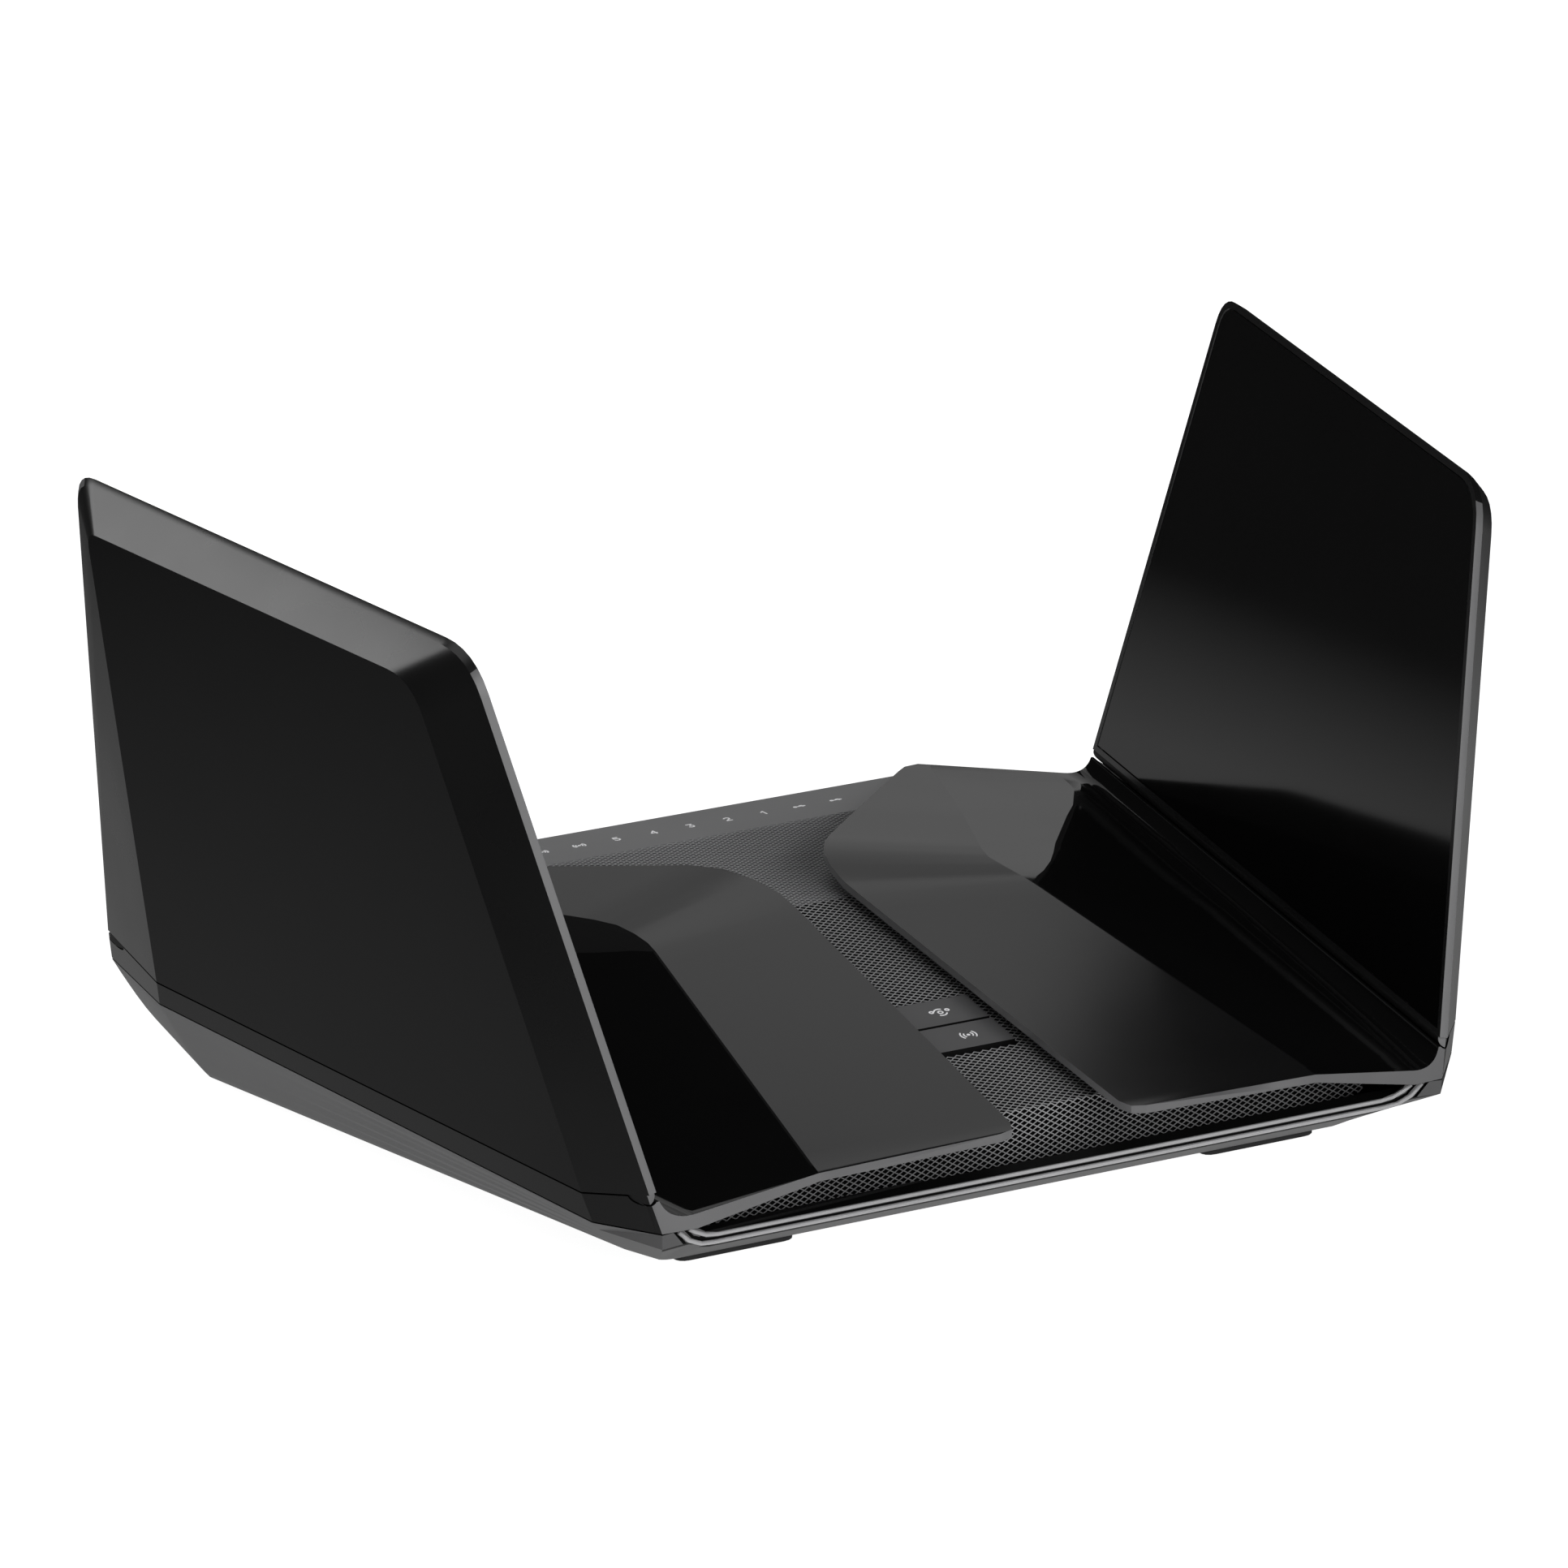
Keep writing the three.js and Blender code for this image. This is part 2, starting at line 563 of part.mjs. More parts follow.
function footOutline([x, y], grow) {
  const a = FOOT_LENGTH / 2 + grow;
  const b = FOOT_WIDTH / 2 + grow;
  return rounded([[x - a, y - b, 3], [x + a, y - b, 3], [x + a, y + b, 3], [x - a, y + b, 3]], 4);
}

// Rear wall: a step outward behind each side cover, its top under the covers and the strip.
function rearWall() {
  const outer = [[116, 103.8], [78, 103.8], [70, REAR_FACE_Y]];
  const inner = [[70.5, REAR_FACE_Y - REAR_WALL], [78.5, 103.8 - REAR_WALL], [116, 103.8 - REAR_WALL]];
  const plan = [
    ...outer,
    ...outer.map(([x, y]) => [-x, y]).reverse(),
    ...inner.map(([x, y]) => [-x, y]).reverse(),
    ...inner,
  ];
  const tops = [[19.2, 116], [27.5, 84], [28.4, 79], [28.2, 72]];
  const elevation = [
    [10, 116],
    ...tops,
    ...tops.map(([z, x]) => [z, -x]).reverse(),
    [10, -116],
  ];
  return overlap(slab('z', plan, 10, 40), slab('y', elevation, 90, 110));
}

const IO_WINDOW = { x: 67, z0: 5.6, z1: 26.6 };

function bottomHousing() {
  const outside = loft(HOUSING_LEVELS.map((level) => housingRing(level, 0, 0)));
  const rings = HOUSING_LEVELS.map((level) => housingRing(level, HOUSING_WALL, HOUSING_FLOOR));
  const rim = rings[rings.length - 1];
  const inside = loft([...rings, rim.map((p) => point(p.x, p.y, 60))]);
  const standoffs = STANDOFFS.map(([x, y]) => rod('z', 3.2, 3, BOARD_BOTTOM - GAP, x, y, 20));
  const tray = join(cut(outside, inside), rearWall(), ...standoffs);
  const recesses = Object.values(FOOT_CENTRES).map((centre) =>
    slab('z', footOutline(centre, GAP), HOUSING_BOTTOM - 1, HOUSING_BOTTOM + FOOT_RECESS));
  const screwBores = STANDOFFS.map(([x, y]) => rod('z', 1.5, 3.8, 10, x, y, 16));
  const window = box(-IO_WINDOW.x, IO_WINDOW.x, 90, 110, IO_WINDOW.z0, IO_WINDOW.z1);
  return cut(tray, ...recesses, ...screwBores, window, ...LIP_GROOVES.map(lipGroove));
}

addPart('bottom_housing', bottomHousing(), 'darkGrey');

for (const [place, centre] of Object.entries(FOOT_CENTRES)) {
  const foot = slab('z', footOutline(centre, 0), 0, HOUSING_BOTTOM + FOOT_RECESS - GAP);
  addPart(`${place}_foot`, foot, 'rubber');
}

addPart('rating_label', box(-30, 30, -15, 15, HOUSING_BOTTOM - 0.6, HOUSING_BOTTOM - GAP), 'paper');

// ---------------------------------------------------------------- grille, status strip and buttons

function grilleHeight(y) {
  const crease = [GRILLE_FRONT_Y, GRILLE_CREASE_Z];
  const [from, to] = y < GRILLE_CREST[0] ? [crease, GRILLE_CREST] : [GRILLE_CREST, GRILLE_REAR];
  return THREE.MathUtils.mapLinear(y, from[0], to[0], from[1], to[1]);
}

function mirroredOutline(half) {
  return [...half, ...half.map(([a, b]) => [-a, b]).reverse()];
}

const BUTTON_WINDOW = [-60.8, -38.3];

function meshGrille() {
  const outer = [[GRILLE_FRONT_Y, 11.6], [GRILLE_FRONT_Y, GRILLE_CREASE_Z], GRILLE_CREST, GRILLE_REAR];
  const inner = outer.map(([y, z], i) => (i === 0 ? [y + GRILLE_THICKNESS, z] : [y, z - GRILLE_THICKNESS]));
  inner[1] = [GRILLE_FRONT_Y + GRILLE_THICKNESS, GRILLE_CREASE_Z - GRILLE_THICKNESS];
  const sheet = slab('x', [...outer, ...inner.reverse()], -90, 90);
  const topPlan = slab('z', mirroredOutline([[56, -90], [44, -10], [44, 30], [60, 81]]), 0, 60);
  const frontHalf = [[74, 11], [81, 13.2], [85, 17.4], [85, 18.5], [62, GRILLE_CREASE_Z + 1]];
  const frontFace = mirroredOutline(frontHalf).map(([x, z]) => [z, x]);
  const allowed = join(topPlan, slab('y', frontFace, -90, GRILLE_FRONT_Y + GRILLE_THICKNESS));
  const half = BUTTON_HALF_WIDTH + 0.4;
  return cut(overlap(sheet, allowed), box(-half, half, ...BUTTON_WINDOW, 20, 50));
}

addPart('mesh_grille', meshGrille(), 'grilleGrey');

function statusStrip() {
  const profile = [STRIP_FRONT, STRIP_REAR];
  const under = profile.map(([y, z]) => [y, z - STRIP_THICKNESS]).reverse();
  const plan = mirroredOutline([[57, 79], [72.6, 101]]);
  return overlap(slab('x', [...profile, ...under], -80, 80), slab('z', plan, 20, 40));
}

addPart('status_strip', statusStrip(), 'buttonGrey');

const LEGEND_COUNT = 11;
const LEGEND_PITCH = 9.45;
const LEGEND_MIDDLE_X = 2.7;

function legendX(number) {
  return LEGEND_MIDDLE_X + (number - (LEGEND_COUNT - 1) / 2) * LEGEND_PITCH;
}

function lightGuide() {
  const posts = [];
  for (let number = 0; number < LEGEND_COUNT; number++) {
    posts.push(rod('z', 1.2, 25, 29.1, legendX(number), 89.8, 12));
  }
  return join(box(-49, 54, 87, 92, 23.5, 26), ...posts);
}

addPart('light_guide', lightGuide(), 'clearGuide');

// Push button: cap above the grille, a lip below it, and a stem down to its switch.
function pushButton([front, rear]) {
  const top = (y) => grilleHeight(y) + BUTTON_RISE;
  const low = (y) => grilleHeight(y) - 3.4;
  const cap = slab('x', [[front, top(front)], [rear, top(rear)], [rear, low(rear)], [front, low(front)]],
    -BUTTON_HALF_WIDTH, BUTTON_HALF_WIDTH);
  const lipTop = (y) => grilleHeight(y) - GRILLE_THICKNESS - GAP;
  const lip = slab('x', [[front, lipTop(front)], [rear, lipTop(rear)], [rear, low(rear)], [front, low(front)]],
    -BUTTON_HALF_WIDTH - 1.4, BUTTON_HALF_WIDTH + 1.4);
  const stem = rod('z', 1.6, 25.6, low(front) + 1, 0, (front + rear) / 2, 16);
  return join(cap, lip, stem);
}

for (const [name, span] of Object.entries(BUTTON_SPANS)) {
  addPart(`${name}_button`, pushButton(span), 'buttonGrey');
}

function buttonBoard() {
  const pieces = [rod('z', 1.2, SEAT_Z, 20.5, -10, -49.5, 10), rod('z', 1.2, SEAT_Z, 20.5, 10, -49.5, 10)];
  for (const [front, rear] of Object.values(BUTTON_SPANS)) {
    const y = (front + rear) / 2;
    pieces.push(box(-3, 3, y - 3, y + 3, 21, 23.6));
    pieces.push(rod('z', 1.4, 23, 24.4, 0, y, 12));
  }
  return join(box(-14, 14, -61, -38, 20, 21.6), ...pieces);
}

addPart('button_board', buttonBoard(), 'boardGreen');

// ---------------------------------------------------------------- boards and cooling

function mainBoard() {
  const board = box(-BOARD_HALF_WIDTH, BOARD_HALF_WIDTH, BOARD_FRONT_Y, BOARD_REAR_Y, BOARD_BOTTOM, BOARD_TOP);
  const switchBody = box(POWER_BUTTON[0] - 4, POWER_BUTTON[0] + 4, 84, 93.5, BOARD_TOP - 0.5, 18);
  const chips = [box(-40, -28, 50, 62, BOARD_TOP - 0.5, 9.4), box(28, 42, 46, 60, BOARD_TOP - 0.5, 9.6)];
  const holes = STANDOFFS.map(([x, y]) => rod('z', 1.7, 0, 20, x, y, 16));
  return cut(join(board, switchBody, ...chips), ...holes);
}

addPart('main_board', mainBoard(), 'boardGreen');

function boardScrew([x, y]) {
  return join(rod('z', 1.2, 4.2, SEAT_Z + 1, x, y, 16), rod('z', 2.7, SEAT_Z, SEAT_Z + 1.6, x, y, 20));
}

STANDOFFS.forEach((place, i) => addPart(`board_screw_${i + 1}`, boardScrew(place), 'steel'));

function heatsink() {
  const fins = [];
  for (let x = -27; x <= 27; x += 6) fins.push(box(x - 0.8, x + 0.8, -24, 34, SEAT_Z + 2, 24));
  return join(box(-30, 30, -24, 34, SEAT_Z, SEAT_Z + 3), ...fins);
}

addPart('heatsink', heatsink(), 'aluminium');

for (const [side, sign] of Object.entries(SIDES)) {
  const x = 54 * sign;
  const outline = rounded([[x - 14, -14, 1.5], [x + 14, -14, 1.5], [x + 14, 24, 1.5], [x - 14, 24, 1.5]], 3);
  addPart(`${side}_radio_shield`, slab('z', outline, SEAT_Z, SEAT_Z + 3.2), 'steel');
}

// ---------------------------------------------------------------- rear connector panel

const PANEL_FRONT_Y = REAR_FACE_Y - 1.6;
const CONNECTOR_FACE_Y = REAR_FACE_Y - 0.2;
const JACK_ROW = [JACK_FIRST_X - JACK_PITCH / 2, JACK_FIRST_X + (JACK_COUNT - 0.5) * JACK_PITCH];

function rearPanel() {
  const plate = box(-IO_WINDOW.x + GAP, IO_WINDOW.x - GAP, PANEL_FRONT_Y, REAR_FACE_Y,
    IO_WINDOW.z0 + GAP, IO_WINDOW.z1 - GAP);
  const y = [90, 110];
  return cut(
    plate,
    box(JACK_ROW[0] - 0.1, JACK_ROW[1] + 0.1, ...y, SEAT_Z - GAP, SEAT_Z + JACK_HEIGHT + GAP),
    box(USB_X - 6.9, USB_X + 6.9, ...y, SEAT_Z - GAP, 20.9),
    rod('y', 4.2, ...y, ...POWER_BUTTON, 28),
    rod('y', 4.7, ...y, ...DC_INLET, 28),
    rod('y', 1.5, ...y, ...RESET_BUTTON, 16),
    box(LED_SWITCH[0] - 1.8, LED_SWITCH[0] + 4.8, ...y, LED_SWITCH[1] - 1.4, LED_SWITCH[1] + 1.4),
  );
}

addPart('rear_connector_panel', rearPanel(), 'darkGrey');

function ethernetJack(x) {
  const body = box(x - JACK_WIDTH / 2, x + JACK_WIDTH / 2, JACK_FRONT_Y, CONNECTOR_FACE_Y, SEAT_Z, SEAT_Z + JACK_HEIGHT);
  const cavity = box(x - 5.9, x + 5.9, CONNECTOR_FACE_Y - 12.5, 110, SEAT_Z + 3.4, SEAT_Z + 11.6);
  const latch = box(x - 2.2, x + 2.2, CONNECTOR_FACE_Y - 9, 110, SEAT_Z + 1.2, SEAT_Z + 4);
  return cut(body, cavity, latch);
}

for (let number = 0; number < JACK_COUNT; number++) {
  addPart(`ethernet_jack_${number + 1}`, ethernetJack(JACK_FIRST_X + number * JACK_PITCH), 'connectorBlack');
}

function usbSocket(z) {
  const shell = box(USB_X - 6.6, USB_X + 6.6, 86, CONNECTOR_FACE_Y, z, z + 5.9);
  const cavity = box(USB_X - 6.1, USB_X + 6.1, 90, 110, z + 0.5, z + 5.4);
  const tongue = box(USB_X - 5.2, USB_X + 5.2, 89, CONNECTOR_FACE_Y - 1.5, z + 3.2, z + 4.9);
  return join(cut(shell, cavity), tongue);
}

addPart('lower_usb_socket', usbSocket(SEAT_Z), 'darkSteel');
addPart('upper_usb_socket', usbSocket(SEAT_Z + 6.2), 'darkSteel');

function dcInlet() {
  const [x, z] = DC_INLET;
  const housing = join(box(x - 4.5, x + 4.5, 86, 97, SEAT_Z, 18.4), rod('y', 4.4, 90, CONNECTOR_FACE_Y, x, z, 28));
  return join(cut(housing, rod('y', 2.9, 90, 110, x, z, 24)), rod('y', 0.95, 89, 99, x, z, 14));
}

addPart('dc_inlet', dcInlet(), 'connectorBlack');

const BUTTON_FACE_Y = REAR_FACE_Y + 1.6;
const FLANGE_Y = [95.8, PANEL_FRONT_Y - GAP];

function powerButton() {
  return join(
    rod('y', 3.9, FLANGE_Y[0], BUTTON_FACE_Y, ...POWER_BUTTON, 32),
    rod('y', 4.9, ...FLANGE_Y, ...POWER_BUTTON, 32),
  );
}

function resetButton() {
  return join(
    rod('y', 1.2, FLANGE_Y[0], REAR_FACE_Y - 0.4, ...RESET_BUTTON, 20),
    rod('y', 2.0, ...FLANGE_Y, ...RESET_BUTTON, 20),
  );
}

function ledSwitch() {
  const [x, z] = LED_SWITCH;
  return join(
    box(x - 1.4, x + 1.4, FLANGE_Y[0], REAR_FACE_Y + 0.9, z - 1.1, z + 1.1),
    box(x - 3.4, x + 3.4, ...FLANGE_Y, z - 1.7, z + 1.7),
  );
}

addPart('power_button', powerButton(), 'buttonGrey');
addPart('reset_button', resetButton(), 'buttonGrey');
addPart('led_switch', ledSwitch(), 'buttonGrey');

export default router;
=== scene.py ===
"""Looks of the wireless router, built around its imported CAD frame. Metres, +Z up, front towards -Y."""
import math
import bmesh
import bpy
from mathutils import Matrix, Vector


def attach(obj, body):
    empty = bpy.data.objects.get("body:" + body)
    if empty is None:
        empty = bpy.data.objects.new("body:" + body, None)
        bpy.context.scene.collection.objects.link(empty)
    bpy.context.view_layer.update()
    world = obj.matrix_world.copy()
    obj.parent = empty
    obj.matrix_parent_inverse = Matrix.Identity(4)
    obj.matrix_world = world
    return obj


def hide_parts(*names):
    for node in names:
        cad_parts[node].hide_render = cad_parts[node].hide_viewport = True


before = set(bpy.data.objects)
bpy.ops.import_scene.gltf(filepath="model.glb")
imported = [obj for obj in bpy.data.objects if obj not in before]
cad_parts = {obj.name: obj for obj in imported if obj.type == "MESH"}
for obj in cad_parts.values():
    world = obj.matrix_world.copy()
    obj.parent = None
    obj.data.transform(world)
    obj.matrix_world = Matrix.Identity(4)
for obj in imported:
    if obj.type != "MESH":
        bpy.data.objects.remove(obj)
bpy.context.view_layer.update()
MM = 0.001


# ---------------------------------------------------------------- camera, light and floor

def direction(azimuth, elevation):
    """Unit vector towards a compass azimuth (0 is +Y, 90 is +X) and an elevation, in degrees."""
    a, e = math.radians(azimuth), math.radians(elevation)
    return Vector((math.sin(a) * math.cos(e), math.cos(a) * math.cos(e), math.sin(e)))


def add_camera():
    camera = bpy.data.objects.new("camera", bpy.data.cameras.new("camera"))
    bpy.context.scene.collection.objects.link(camera)
    camera.location = (-0.9265, -1.6854, 0.7337)
    looking = Vector((0.45066, 0.83101, -0.32606))
    camera.rotation_euler = looking.to_track_quat("-Z", "Y").to_euler()
    camera.data.lens = 215.8
    camera.data.sensor_width = 36
    camera.data.clip_start = 0.05
    camera.data.clip_end = 50
    bpy.context.scene.camera = camera


def add_softbox(name, azimuth, elevation, distance, width, height, power, target=(0, 0, 0.05)):
    """Rectangular soft light that faces the router from a compass direction."""
    light = bpy.data.lights.new(name, "AREA")
    light.shape = "RECTANGLE"
    light.size = width
    light.size_y = height
    light.energy = power
    lamp = bpy.data.objects.new(name, light)
    bpy.context.scene.collection.objects.link(lamp)
    lamp.location = Vector(target) + direction(azimuth, elevation) * distance
    lamp.rotation_euler = (Vector(target) - lamp.location).to_track_quat("-Z", "Y").to_euler()
    return lamp


def add_world():
    world = bpy.data.worlds.new("studio")
    bpy.context.scene.world = world
    world.use_nodes = True
    nodes = world.node_tree.nodes
    links = world.node_tree.links
    background = nodes["Background"]
    rays = nodes.new("ShaderNodeLightPath")
    mix = nodes.new("ShaderNodeMix")
    mix.data_type = "RGBA"
    links.new(rays.outputs["Is Camera Ray"], mix.inputs["Factor"])
    mix.inputs["A"].default_value = (0.014, 0.014, 0.014, 1)
    mix.inputs["B"].default_value = (1.0, 1.0, 1.0, 1)
    links.new(mix.outputs["Result"], background.inputs["Color"])
    background.inputs["Strength"].default_value = 1.0


FLOOR_HALF = 6.0
FLOOR_DROP = 0.0002
FLOOR_BRIGHTNESS = 0.93
REFLECTED_GLOW = {"From Min": 0.2, "From Max": 0.47, "To Min": 0.30, "To Max": 0.0}
REFLECTED_GLOW_CENTRE = (0.08, 0.08, 0)


def add_floor():
    """Pale floor that gloss plastic mirrors as one soft patch, fading out with distance from its centre."""
    mesh = bpy.data.meshes.new("studio_floor")
    corners = [(FLOOR_HALF * x, FLOOR_HALF * y, 0) for x, y in ((-1, -1), (1, -1), (1, 1), (-1, 1))]
    mesh.from_pydata(corners, [], [(0, 1, 2, 3)])
    floor = bpy.data.objects.new("studio_floor", mesh)
    bpy.context.scene.collection.objects.link(floor)
    floor.location.z = -FLOOR_DROP
    material = bpy.data.materials.new("pale_floor")
    material.use_nodes = True
    shader = material.node_tree.nodes["Principled BSDF"]
    shader.inputs["Base Color"].default_value = (0.6, 0.6, 0.6, 1)
    shader.inputs["Roughness"].default_value = 0.9
    shader.inputs["Emission Color"].default_value = (1, 1, 1, 1)
    nodes, links = material.node_tree.nodes, material.node_tree.links
    distance = nodes.new("ShaderNodeVectorMath")
    distance.operation = "DISTANCE"
    distance.inputs[1].default_value = REFLECTED_GLOW_CENTRE
    links.new(nodes.new("ShaderNodeTexCoord").outputs["Object"], distance.inputs[0])
    fade = nodes.new("ShaderNodeMapRange")
    for socket, value in REFLECTED_GLOW.items():
        fade.inputs[socket].default_value = value
    links.new(distance.outputs["Value"], fade.inputs["Value"])
    rays = nodes.new("ShaderNodeLightPath")
    glow = nodes.new("ShaderNodeMix")
    glow.inputs["A"].default_value = FLOOR_BRIGHTNESS
    links.new(rays.outputs["Is Glossy Ray"], glow.inputs["Factor"])
    links.new(fade.outputs["Result"], glow.inputs["B"])
    links.new(glow.outputs["Result"], shader.inputs["Emission Strength"])
    pale = nodes.new("ShaderNodeMix")
    pale.data_type = "RGBA"
    pale.inputs["A"].default_value = (0.6, 0.6, 0.6, 1)
    pale.inputs["B"].default_value = (0, 0, 0, 1)
    links.new(rays.outputs["Is Glossy Ray"], pale.inputs["Factor"])
    links.new(pale.outputs["Result"], shader.inputs["Base Color"])
    mesh.materials.append(material)


add_camera()
add_world()
add_floor()
add_softbox("rear_right_high_softbox", 28.2, 33, 2.4, 0.65, 0.63, 0.66)
add_softbox("rear_right_low_softbox", 27.7, 12, 2.4, 0.82, 1.2, 0.84)
add_softbox("rear_left_softbox", -39, 31, 2.2, 1.1, 0.8, 10)
add_softbox("front_softbox", 170, 22, 2.5, 2.2, 1.2, 33)
add_softbox("top_softbox", -60, 80, 2.4, 2.0, 2.0, 12)
bpy.context.scene.view_settings.view_transform = "Standard"


# ---------------------------------------------------------------- materials

class Shader:
    """Small helper that adds and links nodes in one material."""

    def __init__(self, name):
        self.material = bpy.data.materials.new(name)
        self.material.use_nodes = True
        self.tree = self.material.node_tree
        self.surface = self.tree.nodes["Principled BSDF"]
        self.coordinates = self.tree.nodes.new("ShaderNodeTexCoord").outputs["Object"]

    def add(self, kind, **settings):
        node = self.tree.nodes.new(kind)
        for key, value in settings.items():
            setattr(node, key, value)
        return node

    def link(self, output, target):
        self.tree.links.new(output, target)

    def noise(self, scale, detail=4.0):
        node = self.add("ShaderNodeTexNoise")
        node.inputs["Scale"].default_value = scale
        node.inputs["Detail"].default_value = detail
        self.link(self.coordinates, node.inputs["Vector"])
        return node.outputs["Fac"]

    def ramp(self, value, low, high, start=0.3, end=0.7):
        """Number that goes from low to high as value goes from start to end."""
        node = self.add("ShaderNodeMapRange")
        node.inputs["From Min"].default_value = start
        node.inputs["From Max"].default_value = end
        node.inputs["To Min"].default_value = low
        node.inputs["To Max"].default_value = high
        self.link(value, node.inputs["Value"])
        return node.outputs["Result"]

    def colours(self, value, low, high):
        node = self.add("ShaderNodeMix", data_type="RGBA")
        self.link(value, node.inputs["Factor"])
        node.inputs["A"].default_value = (*low, 1)
        node.inputs["B"].default_value = (*high, 1)
        return node.outputs["Result"]

    def bump(self, height, strength, distance):
        node = self.add("ShaderNodeBump")
        node.inputs["Strength"].default_value = strength
        node.inputs["Distance"].default_value = distance
        self.link(height, node.inputs["Height"])
        self.link(node.outputs["Normal"], self.surface.inputs["Normal"])


def grey(value):
    return (value, value, value * 1.02)


def moulded_plastic(name, shade, roughness, grain=1400, depth=0.00002, strength=0.25, specular=0.5, glow=0.0):
    """Moulded plastic: a fine texture in the surface, and a slight unevenness of colour and gloss."""
    shader = Shader(name)
    patches = shader.noise(38)
    texture = shader.noise(grain, 2.0)
    shader.link(shader.colours(shader.ramp(patches, 0, 1), grey(shade * 0.93), grey(shade * 1.07)),
                shader.surface.inputs["Base Color"])
    shader.link(shader.ramp(patches, roughness * 0.94, roughness * 1.06), shader.surface.inputs["Roughness"])
    shader.surface.inputs["Specular IOR Level"].default_value = specular
    # Painted glow: emission that makes the plastic brighter than the lamps light it.
    if glow:
        shader.surface.inputs["Emission Color"].default_value = (1, 1, 1, 1)
        shader.surface.inputs["Emission Strength"].default_value = glow
    shader.bump(texture, strength, depth)
    return shader.material


def metal(name, colour, roughness, brushed=True):
    shader = Shader(name)
    stretch = shader.add("ShaderNodeMapping")
    stretch.inputs["Scale"].default_value = (1, 30 if brushed else 1, 1)
    shader.link(shader.coordinates, stretch.inputs["Vector"])
    lines = shader.add("ShaderNodeTexNoise")
    lines.inputs["Scale"].default_value = 160
    shader.link(stretch.outputs["Vector"], lines.inputs["Vector"])
    shader.surface.inputs["Metallic"].default_value = 1
    marks = lines.outputs["Fac"]
    darker = tuple(c * 0.86 for c in colour)
    shader.link(shader.colours(marks, darker, colour), shader.surface.inputs["Base Color"])
    shader.link(shader.ramp(marks, roughness * 0.8, roughness * 1.25), shader.surface.inputs["Roughness"])
    shader.bump(marks, 0.12, 0.00002)
    return shader.material


def circuit_board():
    """Green solder mask with copper tracks under it."""
    shader = Shader("green_circuit_board")
    tracks = shader.add("ShaderNodeTexBrick", offset=0.37)
    tracks.inputs["Scale"].default_value = 120
    tracks.inputs["Mortar Size"].default_value = 0.04
    tracks.inputs["Color1"].default_value = (0.01, 0.10, 0.035, 1)
    tracks.inputs["Color2"].default_value = (0.012, 0.12, 0.045, 1)
    tracks.inputs["Mortar"].default_value = (0.03, 0.19, 0.08, 1)
    shader.link(shader.coordinates, tracks.inputs["Vector"])
    shader.link(tracks.outputs["Color"], shader.surface.inputs["Base Color"])
    shader.surface.inputs["Roughness"].default_value = 0.35
    shader.bump(tracks.outputs["Fac"], 0.3, 0.00004)
    return shader.material


GLOSS_BLACK = moulded_plastic("gloss_black_plastic", 0.004, 0.07, grain=220, depth=0.000004, specular=0.32)
INSET_BLACK = moulded_plastic("polished_black_panel", 0.002, 0.09, grain=160, depth=0.000003, specular=0.42)
OUTER_BLACK = moulded_plastic("gloss_black_outer_face", 0.003, 0.07, grain=220, depth=0.000004, specular=0.17)
SATIN_COVER = moulded_plastic("satin_dark_cover", 0.010, 0.13, grain=2600, depth=0.000008, strength=0.2)
SATIN_EDGE = moulded_plastic("satin_grey_edge", 0.135, 0.34, grain=2600, depth=0.00001, strength=0.2)
BEVEL_BLACK = moulded_plastic("satin_wing_bevel", 0.006, 0.28, grain=2600, depth=0.00001, strength=0.2)
HOUSING = moulded_plastic("textured_dark_housing", 0.085, 0.36, grain=1800, depth=0.00002, strength=0.3)
# Painted highlight: the ribs are light grey so that they read as the bright lines the front light draws along
# the lip.
RIB_PAINTED_HIGHLIGHT = moulded_plastic("rib_plastic_painted_highlight", 0.36, 0.2, grain=900, depth=0.000005)
# Painted sheen: the black wires are coloured light grey to stand for their lit tops.
GRILLE_WIRE_PAINTED_SHEEN = moulded_plastic("grille_wire_painted_sheen_grey", 0.36, 0.34, grain=2200, depth=0.00001)
# Painted shade: a black, rough finish laid where shade falls, in the hinge groove, the lip's grooves, on the
# shelf behind the lip and on the keys' side walls.
RECESS_PAINTED_SHADE = moulded_plastic("recess_painted_shade_black", 0.003, 0.5, grain=900, depth=0.00001, specular=0.15)
# Painted shade: a black sheet under the grille's wires, standing for the shadowed inside seen through the
# holes.
GRILLE_SHADE_SHEET = moulded_plastic("grille_painted_shade_sheet", 0.002, 0.95, grain=3000, depth=0.00005, specular=0.1)
STRIP = moulded_plastic("satin_grey_strip", 0.22, 0.36, grain=2600, depth=0.00001, strength=0.2)
BUTTON = moulded_plastic("satin_button_grey", 0.11, 0.34, grain=2600, depth=0.00001, strength=0.2)
RUBBER = moulded_plastic("foot_rubber", 0.018, 0.8, grain=900, depth=0.00004, strength=0.5, specular=0.3)
# The print is white. It also gets a painted glow, a slight emission that makes it brighter than the lamps
# light it.
LEGEND_WITH_PAINTED_GLOW = moulded_plastic("printed_white_legend_painted_glow", 0.75, 0.6, grain=2600, depth=0.000005, glow=0.2)
CONNECTOR = moulded_plastic("connector_black", 0.008, 0.3, grain=1500, depth=0.00001)
PANEL_BLACK = moulded_plastic("connector_panel_black", 0.014, 0.45, grain=1500, depth=0.00003, strength=0.4)
LABEL = moulded_plastic("blank_label", 0.72, 0.55, grain=900, depth=0.00001)
GUIDE = moulded_plastic("clear_light_guide", 0.75, 0.15, grain=400, depth=0.000005)
STEEL = metal("bright_steel", (0.62, 0.62, 0.64), 0.28)
ALUMINIUM = metal("extruded_aluminium", (0.66, 0.67, 0.69), 0.35)
GOLD = metal("gold_contact", (0.83, 0.62, 0.26), 0.25, brushed=False)
BOARD = circuit_board()


